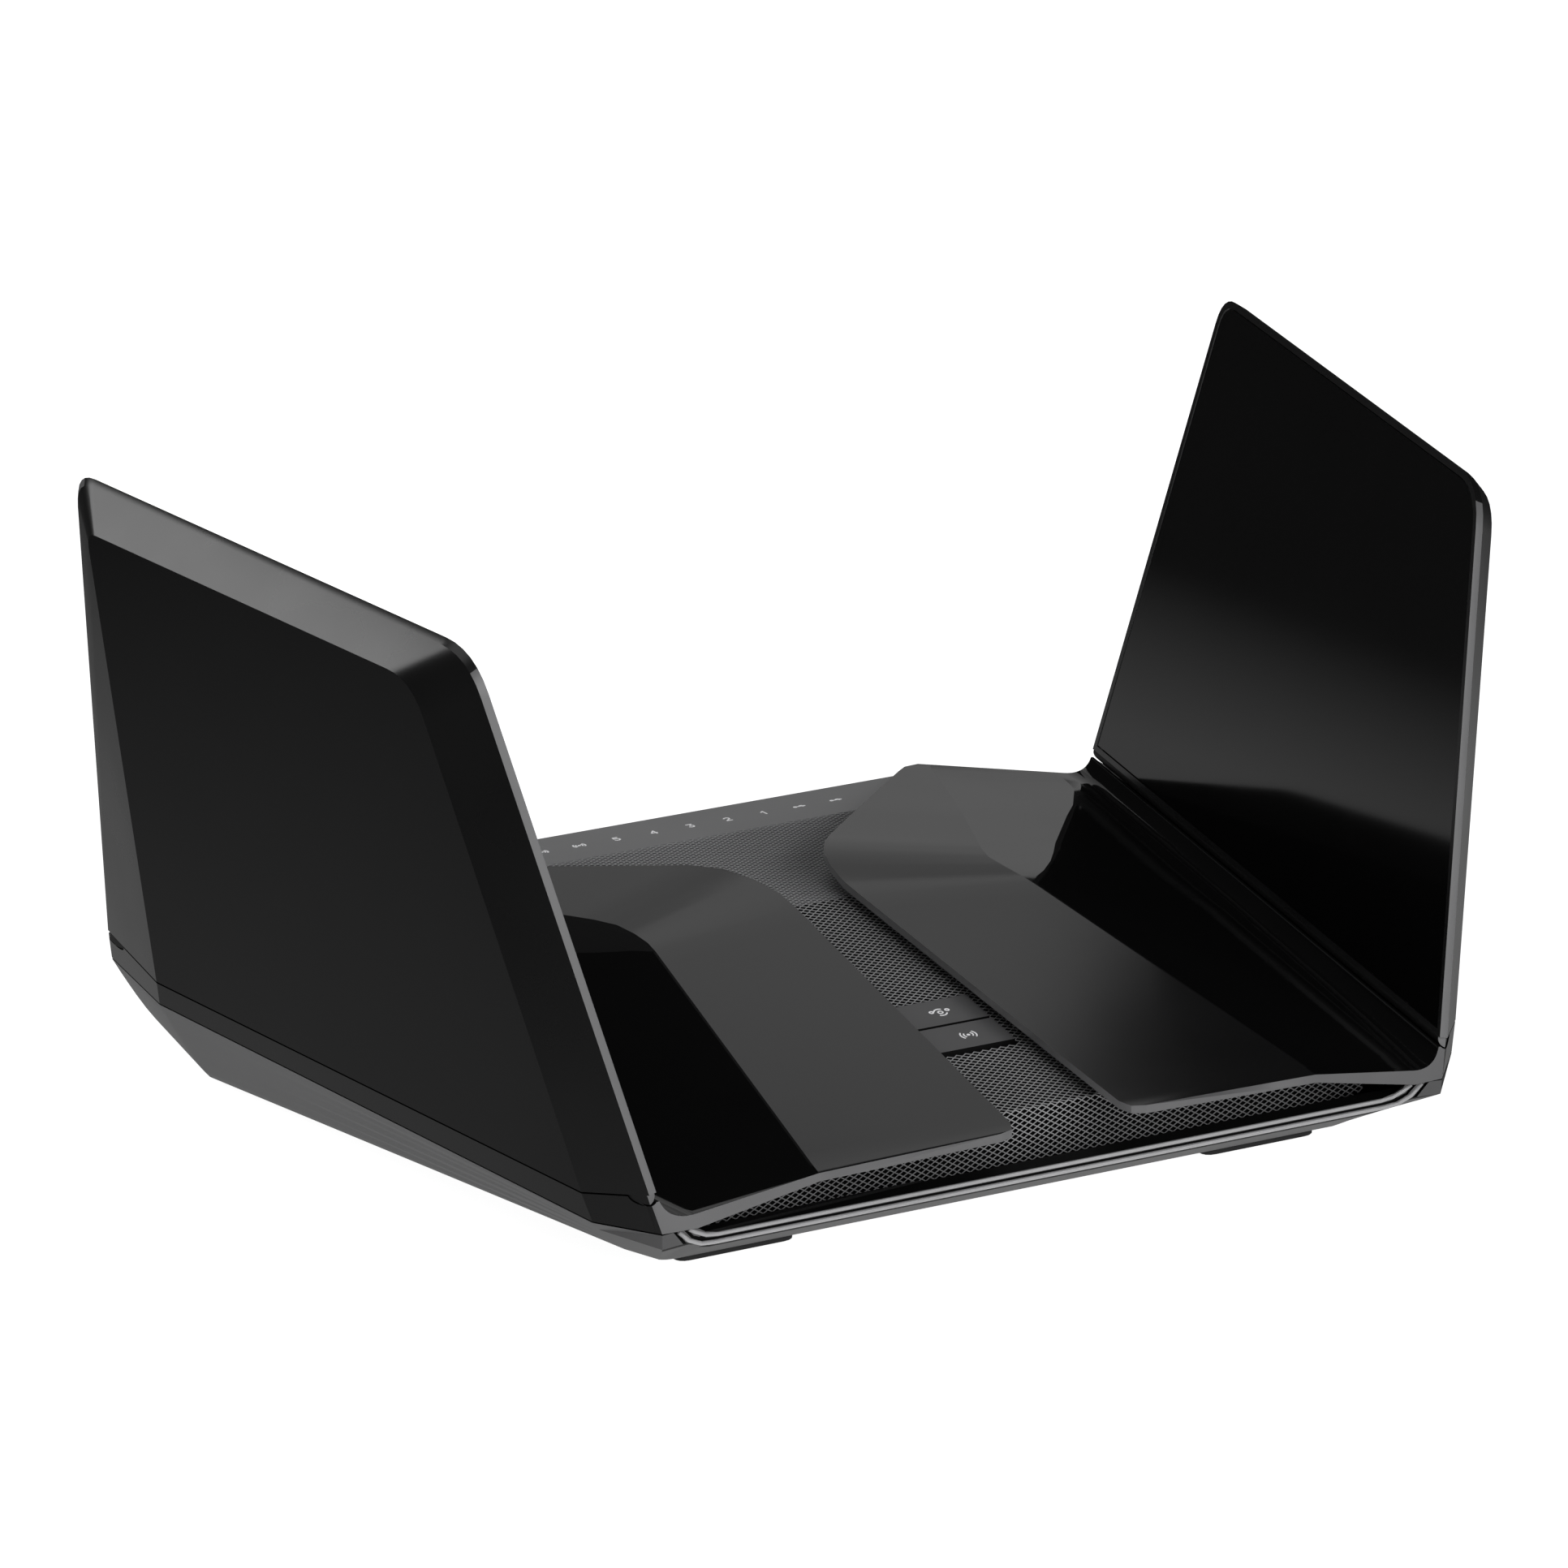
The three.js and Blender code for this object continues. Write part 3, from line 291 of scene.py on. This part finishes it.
# ---------------------------------------------------------------- pieces made from CAD nodes

def clean_copy(node, name):
    """Editable copy of a CAD node's mesh, with flat faces joined again."""
    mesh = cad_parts[node].data.copy()
    mesh.name = name
    mesh.materials.clear()
    work = bmesh.new()
    work.from_mesh(mesh)
    bmesh.ops.remove_doubles(work, verts=work.verts, dist=0.000004)
    bmesh.ops.dissolve_limit(work, angle_limit=math.radians(0.3), verts=work.verts, edges=work.edges)
    bmesh.ops.recalc_face_normals(work, faces=work.faces)
    work.to_mesh(mesh)
    work.free()
    piece = bpy.data.objects.new(name, mesh)
    bpy.context.scene.collection.objects.link(piece)
    return piece


def soften(piece, width, angle=30, segments=3):
    """Rounds the sharp edges and keeps the flat faces flat."""
    for polygon in piece.data.polygons:
        polygon.use_smooth = True
    bevel = piece.modifiers.new("rounded_edges", "BEVEL")
    bevel.width = width
    bevel.segments = segments
    bevel.limit_method = "ANGLE"
    bevel.angle_limit = math.radians(angle)
    bevel.use_clamp_overlap = True
    bevel.miter_outer = "MITER_ARC"
    weighted = piece.modifiers.new("flat_face_shading", "WEIGHTED_NORMAL")
    weighted.keep_sharp = True
    weighted.weight = 80


def dress(node, piece_name, body, material, width, angle=30, segments=3):
    """Piece that stands for a CAD node: the same shape with rounded edges and a real finish."""
    piece = clean_copy(node, piece_name)
    piece.data.materials.append(material)
    soften(piece, width, angle, segments)
    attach(piece, body)
    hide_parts(node)
    return piece


def finish_node(node, material):
    """CAD node that keeps its own shape and gets a real finish."""
    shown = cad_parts[node]
    shown.data.materials.clear()
    shown.data.materials.append(material)


def new_piece(name, work, materials, body):
    """Piece with a shape of its own, from a finished bmesh."""
    mesh = bpy.data.meshes.new(name)
    work.to_mesh(mesh)
    work.free()
    for material in materials:
        mesh.materials.append(material)
    piece = bpy.data.objects.new(name, mesh)
    bpy.context.scene.collection.objects.link(piece)
    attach(piece, body)
    return piece


# ---------------------------------------------------------------- wings

WING_SPLAY = math.radians(8.84)
WING_LEAN = math.radians(10.43)
HINGE_FRONT = Vector((0.09466, -0.09668, 0.0265))
OUTER_FACE_DEPTH = 0.009         # how far out from the inner face the big outer face lies, at least
RIM_DEPTH = 0.0019               # the grey rim reaches this far out from the inner face
BARREL_DEPTH = 0.0045            # the barrel at the wing's foot reaches this far out
EDGE_ROUNDING = 0.0003


def wing_axes(sign):
    """The wing's own directions: along its hinge, up the wing, and outward."""
    splay, lean = WING_SPLAY, WING_LEAN
    along = Vector((math.sin(splay), math.cos(splay), 0))
    level = Vector((math.cos(splay), -math.sin(splay), 0))
    up = level * math.sin(lean) + Vector((0, 0, math.cos(lean)))
    out = along.cross(up)
    flip = Vector((sign, 1, 1))
    return along * flip, up * flip, out * flip


def hinge_corner(sign):
    """Front end of the line where the wing's inner face meets the parting plane."""
    return HINGE_FRONT * Vector((sign, 1, 1))


def wing_shell(side, sign):
    piece = clean_copy(f"{side}_wing_shell", f"{side}_wing_outer_shell")
    for material in (BEVEL_BLACK, OUTER_BLACK, SATIN_EDGE, RECESS_PAINTED_SHADE):
        piece.data.materials.append(material)
    along, up, out = wing_axes(sign)
    for polygon in piece.data.polygons:
        outward = polygon.normal.dot(out)
        depth = (polygon.center - hinge_corner(sign)).dot(out)
        height = (polygon.center - hinge_corner(sign)).dot(up)
        if outward > 0.995 and depth > OUTER_FACE_DEPTH:
            polygon.material_index = 1
        # The barrel down in the hinge groove gets the painted shade finish.
        elif height < 0.00015 and depth < BARREL_DEPTH and abs(polygon.normal.dot(along)) < 0.3:
            polygon.material_index = 3
        elif -0.1 < outward < 0.9 and depth < RIM_DEPTH and polygon.normal.z < 0.6:
            polygon.material_index = 2
    soften(piece, EDGE_ROUNDING, angle=24)
    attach(piece, f"{side}_wing")
    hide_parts(f"{side}_wing_shell")


for side, sign in (("left", -1), ("right", 1)):
    wing_shell(side, sign)
    dress(f"{side}_wing_inner_panel", f"{side}_wing_polished_panel", f"{side}_wing",
          INSET_BLACK, EDGE_ROUNDING)
    for place in ("front", "rear"):
        finish_node(f"{side}_{place}_antenna_board", BOARD)
    finish_node(f"{side}_hinge_pin", STEEL)


# ---------------------------------------------------------------- side covers

# Outer side of the satin area, front to rear, on the right cover: beyond it the plastic is gloss black.
SATIN_LIMIT = [(60.4, -104), (58.6, -89), (47.1, -5), (50.2, -0.8), (55.5, 5.2), (62.5, 14.3), (68, 22.5),
               (74, 32), (93, 59.5), (101, 70.5), (111, 87), (113.4, 95), (115, 101), (116.2, 105)]

# The crease nearer the middle, between the two satin facets.
INNER_CREASE = [(59.9, -103), (58.1, -89), (46.6, -5), (46.1, -0.5), (45.9, 6), (46.3, 13.5), (48.4, 20.5),
                (51.5, 28), (62.5, 54.5), (66.5, 64.5), (75, 86.5), (78.2, 96), (80.8, 101.5), (84, 103.9)]


def line_x(line, y):
    """X of a front-to-rear line at the given y, in millimetres."""
    for (x0, y0), (x1, y1) in zip(line, line[1:]):
        if y <= y1:
            return x0 + (x1 - x0) * (y - y0) / (y1 - y0)
    return line[-1][0]


def sharpen(mesh, line):
    """Keeps the edges along a line of the panel's top crisp."""
    for edge in mesh.edges:
        ends = [mesh.vertices[i].co / MM for i in edge.vertices]
        if all(p.z > 20.5 and abs(abs(p.x) - line_x(line, p.y)) < 0.4 for p in ends):
            if abs(ends[0].y - ends[1].y) > 0.3:
                edge.use_edge_sharp = True


def sharpen_stub(mesh, out, sign):
    """Keeps the stub's outer corners crisp, in line with the wing's bevels above them."""
    work = bmesh.new()
    work.from_mesh(mesh)
    for edge in work.edges:
        middle = (edge.verts[0].co + edge.verts[1].co) / 2
        if (middle - hinge_corner(sign)).dot(out) > 0.0012 and edge.calc_face_angle(0) > math.radians(9):
            edge.smooth = False
    work.to_mesh(mesh)
    work.free()


def side_cover(side, sign):
    piece = clean_copy(f"{side}_side_cover", f"{side}_faceted_cover")
    for material in (SATIN_COVER, GLOSS_BLACK, SATIN_EDGE, RECESS_PAINTED_SHADE, BEVEL_BLACK):
        piece.data.materials.append(material)
    along, up, out = wing_axes(sign)
    sharpen_stub(piece.data, out, sign)
    for polygon in piece.data.polygons:
        x, y = polygon.center.x * sign / MM, polygon.center.y / MM
        height = (polygon.center - hinge_corner(sign)).dot(up)
        depth = (polygon.center - hinge_corner(sign)).dot(out)
        slant, outward = abs(polygon.normal.dot(along)), polygon.normal.dot(out)
        faces_groove = slant < 0.3 and (depth < 0.001 or outward < 0.3)
        # Faces down in the hinge groove get the painted shade finish.
        if height > -0.002 and -0.0008 < depth < 0.0046 and faces_groove:
            polygon.material_index = 3
        elif polygon.normal.y < -0.85 and y < -90:
            polygon.material_index = 2
        elif depth > 0 and slant > 0.3 and outward > 0.2:
            polygon.material_index = 4
        elif x > line_x(SATIN_LIMIT, y) - 0.2:
            polygon.material_index = 1
        elif abs(polygon.normal.z) < 0.5:
            polygon.material_index = 2
    sharpen(piece.data, SATIN_LIMIT)
    sharpen(piece.data, INNER_CREASE)
    soften(piece, EDGE_ROUNDING, angle=28)
    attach(piece, "chassis")
    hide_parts(f"{side}_side_cover")


for side, sign in (("left", -1), ("right", 1)):
    side_cover(side, sign)


# ---------------------------------------------------------------- grille

CREASE = (-87.0, 24.9)
CREST = (12.2, 38.8)
REAR = (79.1, 32.1)
PITCH_X = 2.15
PITCH_S = 1.6
FRONT_PITCH_S = 1.33
FRONT_WIRE_WIDTH = 0.26
TOP_WIRE_WIDTH = 0.27
WIRE_DEPTH = 0.16
SHADE_SHEET_TOP_DEPTH = 0.75
SHEET_DEPTH = 1.1
BUTTON_WINDOW = {"front": -60.8, "rear": -38.3, "half_width": 11.2}


class Plane:
    """Flat part of the grille, from one fold line to the next, measured along its slope."""

    def __init__(self, start, end, offset, wire_width):
        self.start = Vector((0, *start))
        run = Vector((0, *end)) - self.start
        self.length = run.length
        self.slope = run.normalized()
        self.normal = Vector((1, 0, 0)).cross(self.slope)
        self.offset = offset
        self.wire_width = wire_width

    def point(self, x, s, depth=0.0):
        return (self.start + Vector((x, 0, 0)) + self.slope * s - self.normal * depth) * MM

    def s_at(self, y):
        return (y - self.start.y) / self.slope.y


def clip_line(start, heading, outline):
    """The stretch of an endless line inside a convex outline, as two line parameters, or None."""
    low, high = -1e9, 1e9
    for (x0, s0), (x1, s1) in zip(outline, outline[1:] + outline[:1]):
        edge = (x1 - x0, s1 - s0)
        inward = (-edge[1], edge[0])
        gap = (start[0] - x0) * inward[0] + (start[1] - s0) * inward[1]
        rate = heading[0] * inward[0] + heading[1] * inward[1]
        if abs(rate) < 1e-9:
            if gap < 0:
                return None
            continue
        crossing = -gap / rate
        if rate > 0:
            low = max(low, crossing)
        else:
            high = min(high, crossing)
    return (low, high) if high - low > 0.4 else None


def wire(work, plane, a, b, lean):
    """One wire of the lattice: a six-sided bar just under the surface."""
    run = Vector((b[0] - a[0], b[1] - a[1]))
    across = Vector((-run.y, run.x)).normalized() * (plane.wire_width / 2)
    section = [(-1, 0.6), (-0.55, 0.0), (0.55, 0.0), (1, 0.6), (0.55, 1.0), (-0.55, 1.0)]
    rings = []
    for x, s in (a, b):
        ring = []
        for side, deep in section:
            depth = deep * WIRE_DEPTH + lean
            ring.append(work.verts.new(plane.point(x + across.x * side, s + across.y * side, depth)))
        rings.append(ring)
    for i in range(6):
        j = (i + 1) % 6
        work.faces.new((rings[0][i], rings[0][j], rings[1][j], rings[1][i]))
    work.faces.new(rings[0][::-1])
    work.faces.new(rings[1])


def lattice(work, plane, outline, pitch_s):
    """Both diagonal families of wires over one convex outline [(x, s), ...], anticlockwise."""
    reach = max(abs(x) for x, s in outline) / PITCH_X + max(abs(s) for x, s in outline) / pitch_s
    count = int(reach) + 3
    for family, lean in ((1, 0.0), (-1, 0.06)):
        heading = (PITCH_X, -family * pitch_s)
        for number in range(-count, count + 1):
            start = (0.0, family * (number - plane.offset) * pitch_s)
            inside = clip_line(start, heading, outline)
            if inside:
                ends = [(start[0] + heading[0] * t, start[1] + heading[1] * t) for t in inside]
                wire(work, plane, *ends, lean)


# Painted shade: a black sheet under the wires, standing for the shadowed inside seen through the holes.
def shade_sheet(work, plane, outline):
    top = [work.verts.new(plane.point(x, s, SHADE_SHEET_TOP_DEPTH)) for x, s in outline]
    low = [work.verts.new(plane.point(x, s, SHEET_DEPTH)) for x, s in outline]
    work.faces.new(top).material_index = 1
    work.faces.new(low[::-1]).material_index = 1
    for i in range(len(top)):
        j = (i + 1) % len(top)
        work.faces.new((top[j], top[i], low[i], low[j])).material_index = 1


def grille():
    work = bmesh.new()
    front = Plane((CREASE[0], 11.6), CREASE, 0.0, FRONT_WIRE_WIDTH)
    rise = Plane(CREASE, CREST, 0.3, TOP_WIRE_WIDTH)
    fall = Plane(CREST, REAR, 0.7, TOP_WIRE_WIDTH)

    def half_width(y):
        if y < -10:
            return 56 + (44 - 56) * (y + 87) / 77
        return 44 if y < 30 else 44 + 16 * (y - 30) / 51

    def band(plane, y0, y1, inner=None):
        s0, s1 = plane.s_at(y0), plane.s_at(y1)
        w0, w1 = half_width(y0), half_width(y1)
        if inner is None:
            return [[(-w0, s0), (w0, s0), (w1, s1), (-w1, s1)]]
        return [[(inner, s0), (w0, s0), (w1, s1), (inner, s1)],
                [(-w0, s0), (-inner, s0), (-inner, s1), (-w1, s1)]]

    window_front, window_rear, window_half = BUTTON_WINDOW.values()
    areas = [(rise, outline) for outline in (
        *band(rise, CREASE[0], window_front), *band(rise, window_front, window_rear, window_half),
        *band(rise, window_rear, -10), *band(rise, -10, CREST[0]))]
    areas += [(fall, outline) for outline in (*band(fall, CREST[0], 30), *band(fall, 30, REAR[0]))]
    for plane, outline in areas:
        lattice(work, plane, outline, PITCH_S)
        shade_sheet(work, plane, outline)
    height = front.length
    face = [(-74, 0), (74, 0), (81, 2.0), (84.5, 5.9), (84.5, 6.6), (62, height), (-62, height),
            (-84.5, 6.6), (-84.5, 5.9), (-81, 2.0)]
    lattice(work, front, face, FRONT_PITCH_S)
    shade_sheet(work, front, face)
    piece = new_piece("diamond_mesh_grille", work, [GRILLE_WIRE_PAINTED_SHEEN, GRILLE_SHADE_SHEET], "chassis")
    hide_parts("mesh_grille")


grille()


# ---------------------------------------------------------------- housing, strip and buttons

LIP_BEND_X = 80.5                # beyond this the lip's ends run forward
LIP_FACE_Y = -96.3


def housing():
    """The tray: textured all over, with painted shade (a black, rough finish) in the lip's grooves and on the
    shelf behind the lip.
    """
    piece = dress("bottom_housing", "moulded_bottom_housing", "chassis", HOUSING, 0.0004)
    piece.data.materials.append(RECESS_PAINTED_SHADE)
    for polygon in piece.data.polygons:
        x, y, z = polygon.center / MM
        behind_lip = y + 0.1 * max(0, abs(x) - LIP_BEND_X) > LIP_FACE_Y
        if y < -94 and z > 11 and behind_lip:
            polygon.material_index = 1
        elif LIP_FACE_Y < y < -80 and z > 10.5 and abs(x) < 94 and polygon.normal.z > 0.5:
            polygon.material_index = 1


housing()
dress("status_strip", "legend_strip", "chassis", STRIP, 0.0003)
dress("rating_label", "blank_rating_label", "chassis", LABEL, 0.00008, segments=1)
for place in ("front_left", "front_right", "rear_left", "rear_right"):
    dress(f"{place}_foot", f"{place}_rubber_foot", "chassis", RUBBER, 0.0004)
for name in ("wps", "wifi"):
    button = dress(f"{name}_button", f"{name}_push_button", f"{name}_key", BUTTON, 0.0005)
    button.data.materials.append(RECESS_PAINTED_SHADE)
    for polygon in button.data.polygons:
        # The keys' side walls get the painted shade finish, for the shaded gap round each key.
        polygon.material_index = 1 if abs(polygon.normal.z) < 0.5 else 0


# ---------------------------------------------------------------- ribs along the front lip

# Centre line of each rib's right-hand bend, [x, z]: the lip's surface runs forward towards the corner.
RIBS = {"upper": [(80.2, 14.75), (83.2, 15.2), (85.6, 16.3), (87.4, 17.4)],
        "lower": [(81.0, 13.1), (84.3, 13.5), (87.4, 14.9), (89.9, 17.3)]}
RIB_RADIUS = 0.5
RIB_Y = -96.2
RIB_SWEEP = 0.12


def rib(level, bend):
    work = bmesh.new()
    path = [(-x, z) for x, z in reversed(bend)] + bend
    rings = []
    for i, (x, z) in enumerate(path):
        before, after = path[max(i - 1, 0)], path[min(i + 1, len(path) - 1)]
        heading = Vector((after[0] - before[0], 0, after[1] - before[1])).normalized()
        across = Vector((-heading.z, 0, heading.x))
        middle = Vector((x, RIB_Y - RIB_SWEEP * max(0, abs(x) - LIP_BEND_X), z))
        ring = []
        for step in range(12):
            turn = math.tau * step / 12
            ring.append(work.verts.new(
                (middle + (across * math.cos(turn) + Vector((0, 1, 0)) * math.sin(turn)) * RIB_RADIUS) * MM))
        rings.append(ring)
    for ring, following in zip(rings, rings[1:]):
        for i in range(12):
            j = (i + 1) % 12
            work.faces.new((ring[i], ring[j], following[j], following[i])).smooth = True
    work.faces.new(rings[0][::-1])
    work.faces.new(rings[-1])
    bmesh.ops.recalc_face_normals(work, faces=work.faces)
    new_piece(f"{level}_lip_rib", work, [RIB_PAINTED_HIGHLIGHT], "chassis")


for level, bend in RIBS.items():
    rib(level, bend)


# ---------------------------------------------------------------- printed signs

STROKES = {
    "1": [[(-0.25, 0.25), (0.05, 0.5), (0.05, -0.5)]],
    "2": [[(-0.3, 0.3), (-0.1, 0.5), (0.15, 0.5), (0.3, 0.3), (0.25, 0.05), (-0.3, -0.5), (0.32, -0.5)]],
    "3": [[(-0.3, 0.5), (0.28, 0.5), (-0.02, 0.1), (0.22, 0.05), (0.3, -0.2), (0.15, -0.48), (-0.12, -0.5),
           (-0.3, -0.35)]],
    "4": [[(0.32, -0.2), (-0.34, -0.2), (0.15, 0.5), (0.15, -0.5)]],
    "5": [[(0.28, 0.5), (-0.22, 0.5), (-0.26, 0.08), (0.05, 0.12), (0.28, -0.05), (0.28, -0.3), (0.08, -0.5),
           (-0.2, -0.48), (-0.32, -0.36)]],
}


def arc(radius, start, end, centre=(0, 0), steps=12):
    """Points along an arc, angles in degrees anticlockwise from the right."""
    points = []
    for i in range(steps + 1):
        angle = math.radians(start + (end - start) * i / steps)
        points.append((centre[0] + radius * math.cos(angle), centre[1] + radius * math.sin(angle)))
    return points


STROKES["plug"] = [[(-0.8, 0), (0.35, 0)], arc(0.2, 0, 360, (-0.95, 0)),
                   [(-0.3, 0), (0.0, 0.35), (0.3, 0.35)],
                   [(0.3, 0.2), (0.7, 0), (0.3, -0.2), (0.3, 0.2)]]
STROKES["globe"] = [arc(0.5, 0, 360, steps=18), [(-0.5, 0), (0.5, 0)], [(0, -0.5), (0, 0.5)]]
STROKES["power"] = [arc(0.45, 125, 415, steps=16), [(0, 0.05), (0, 0.55)]]
STROKES["waves"] = [arc(0.12, 0, 360, steps=8), arc(0.55, -40, 40), arc(0.55, 140, 220), arc(0.95, -40, 40),
                    arc(0.95, 140, 220)]
STROKES["pairing"] = [arc(0.22, 0, 360, (-1.0, 0.2)), arc(0.22, 0, 360, (1.0, 0.2)),
                      arc(0.75, 150, 60, (0, -0.1)), arc(0.75, -30, -120, (0, -0.1)),
                      arc(0.28, 0, 360, (0, -0.1))]


def sloping_surface(start, end):
    """Function from x, y (mm) to the point of a slope that rises from start to end, both (y, z)."""
    def place(x, y, lift):
        z = start[1] + (end[1] - start[1]) * (y - start[0]) / (end[0] - start[0])
        return Vector((x, y, z + lift)) * MM
    return place


PRINT_LIFT = 0.05


def print_sign(work, surface, centre, size, strokes, thickness):
    """Raised print: each stroke a run of low bars on the surface."""
    for stroke in strokes:
        points = [(centre[0] + u * size, centre[1] + v * size) for u, v in stroke]
        for (x0, y0), (x1, y1) in zip(points, points[1:]):
            run = Vector((x1 - x0, y1 - y0))
            if run.length < 0.001:
                continue
            ahead = run.normalized() * thickness * 0.3
            side = Vector((-run.y, run.x)).normalized() * thickness / 2
            corners = [(x0 - ahead.x + side.x, y0 - ahead.y + side.y),
                       (x1 + ahead.x + side.x, y1 + ahead.y + side.y),
                       (x1 + ahead.x - side.x, y1 + ahead.y - side.y),
                       (x0 - ahead.x - side.x, y0 - ahead.y - side.y)]
            top = [work.verts.new(surface(x, y, PRINT_LIFT)) for x, y in corners]
            low = [work.verts.new(surface(x, y, -PRINT_LIFT)) for x, y in corners]
            work.faces.new(top)
            work.faces.new(low[::-1])
            for i in range(4):
                j = (i + 1) % 4
                work.faces.new((top[j], top[i], low[i], low[j]))
    bmesh.ops.recalc_face_normals(work, faces=work.faces)


STRIP_SURFACE = sloping_surface((79.7, 31.8), (100.3, 30.4))
BUTTON_SURFACE = sloping_surface((CREASE[0], CREASE[1] + 0.9), (CREST[0], CREST[1] + 0.9))
SIGN_PITCH = 9.45
LEGEND_SIGNS = ["power", "globe", "waves", "waves", "5", "4", "3", "2", "1", "plug", "plug"]


def legends():
    work = bmesh.new()
    for number, sign in enumerate(LEGEND_SIGNS):
        x = 2.7 + (number - 5) * SIGN_PITCH
        size = 1.5 if sign in ("plug", "waves") else 2.2
        print_sign(work, STRIP_SURFACE, (x, 89.8), size, STROKES[sign], 0.36)
    new_piece("strip_signs", work, [LEGEND_WITH_PAINTED_GLOW], "chassis")


legends()
for name, sign, x, y in (("wps", "pairing", 1.6, -44.0), ("wifi", "waves", 2.2, -55.3)):
    work = bmesh.new()
    print_sign(work, BUTTON_SURFACE, (x, y), 1.9, STROKES[sign], 0.34)
    new_piece(f"{name}_button_sign", work, [LEGEND_WITH_PAINTED_GLOW], f"{name}_key")


# ---------------------------------------------------------------- rear connectors

dress("rear_connector_panel", "connector_plate", "chassis", PANEL_BLACK, 0.0002)
for number in range(1, 7):
    dress(f"ethernet_jack_{number}", f"network_socket_{number}", "chassis", CONNECTOR,
          0.0002)


FIRST_SOCKET_X = -56.5
SOCKET_PITCH = 15
CONTACT_PITCH = 1.02


def add_bar(work, x0, x1, y0, y1, z0, z1):
    """Closed box, in millimetres."""
    made = bmesh.ops.create_cube(work, size=1)["verts"]
    for vertex in made:
        vertex.co = Vector(((x0 + x1) / 2 + vertex.co.x * (x1 - x0), (y0 + y1) / 2 + vertex.co.y * (y1 - y0),
                            (z0 + z1) / 2 + vertex.co.z * (z1 - z0))) * MM


def socket_contacts(number):
    """Eight sprung contacts under the socket's ceiling, and a status light in each upper corner."""
    middle = FIRST_SOCKET_X + SOCKET_PITCH * (number - 1)
    work = bmesh.new()
    for wire_number in range(8):
        x = middle + (wire_number - 3.5) * CONTACT_PITCH
        add_bar(work, x - 0.2, x + 0.2, 88.5, 95.5, 19.0, 19.3)
        add_bar(work, x - 0.2, x + 0.2, 88.0, 88.5, 17.2, 19.3)
    new_piece(f"network_contacts_{number}", work, [GOLD], "chassis")
    lights = bmesh.new()
    for x in (middle - 5.4, middle + 5.4):
        add_bar(lights, x - 1.1, x + 1.1, 99.5, 100.22, 20.35, 21.3)
    new_piece(f"network_lights_{number}", lights, [GUIDE], "chassis")


for number in range(1, 7):
    socket_contacts(number)
for level in ("lower", "upper"):
    dress(f"{level}_usb_socket", f"{level}_usb_shell", "chassis", STEEL, 0.00012)
dress("dc_inlet", "power_inlet", "chassis", CONNECTOR, 0.0002)
dress("power_button", "round_power_button", "power_key", BUTTON, 0.0004)
dress("reset_button", "recessed_reset_button", "reset_key", BUTTON, 0.0002)
dress("led_switch", "led_slide_switch", "led_slider", BUTTON, 0.0002)

for node in ("main_board", "button_board"):
    finish_node(node, BOARD)
for node in ("left_radio_shield", "right_radio_shield", "board_screw_1", "board_screw_2", "board_screw_3",
             "board_screw_4"):
    finish_node(node, STEEL)
finish_node("heatsink", ALUMINIUM)
finish_node("light_guide", GUIDE)
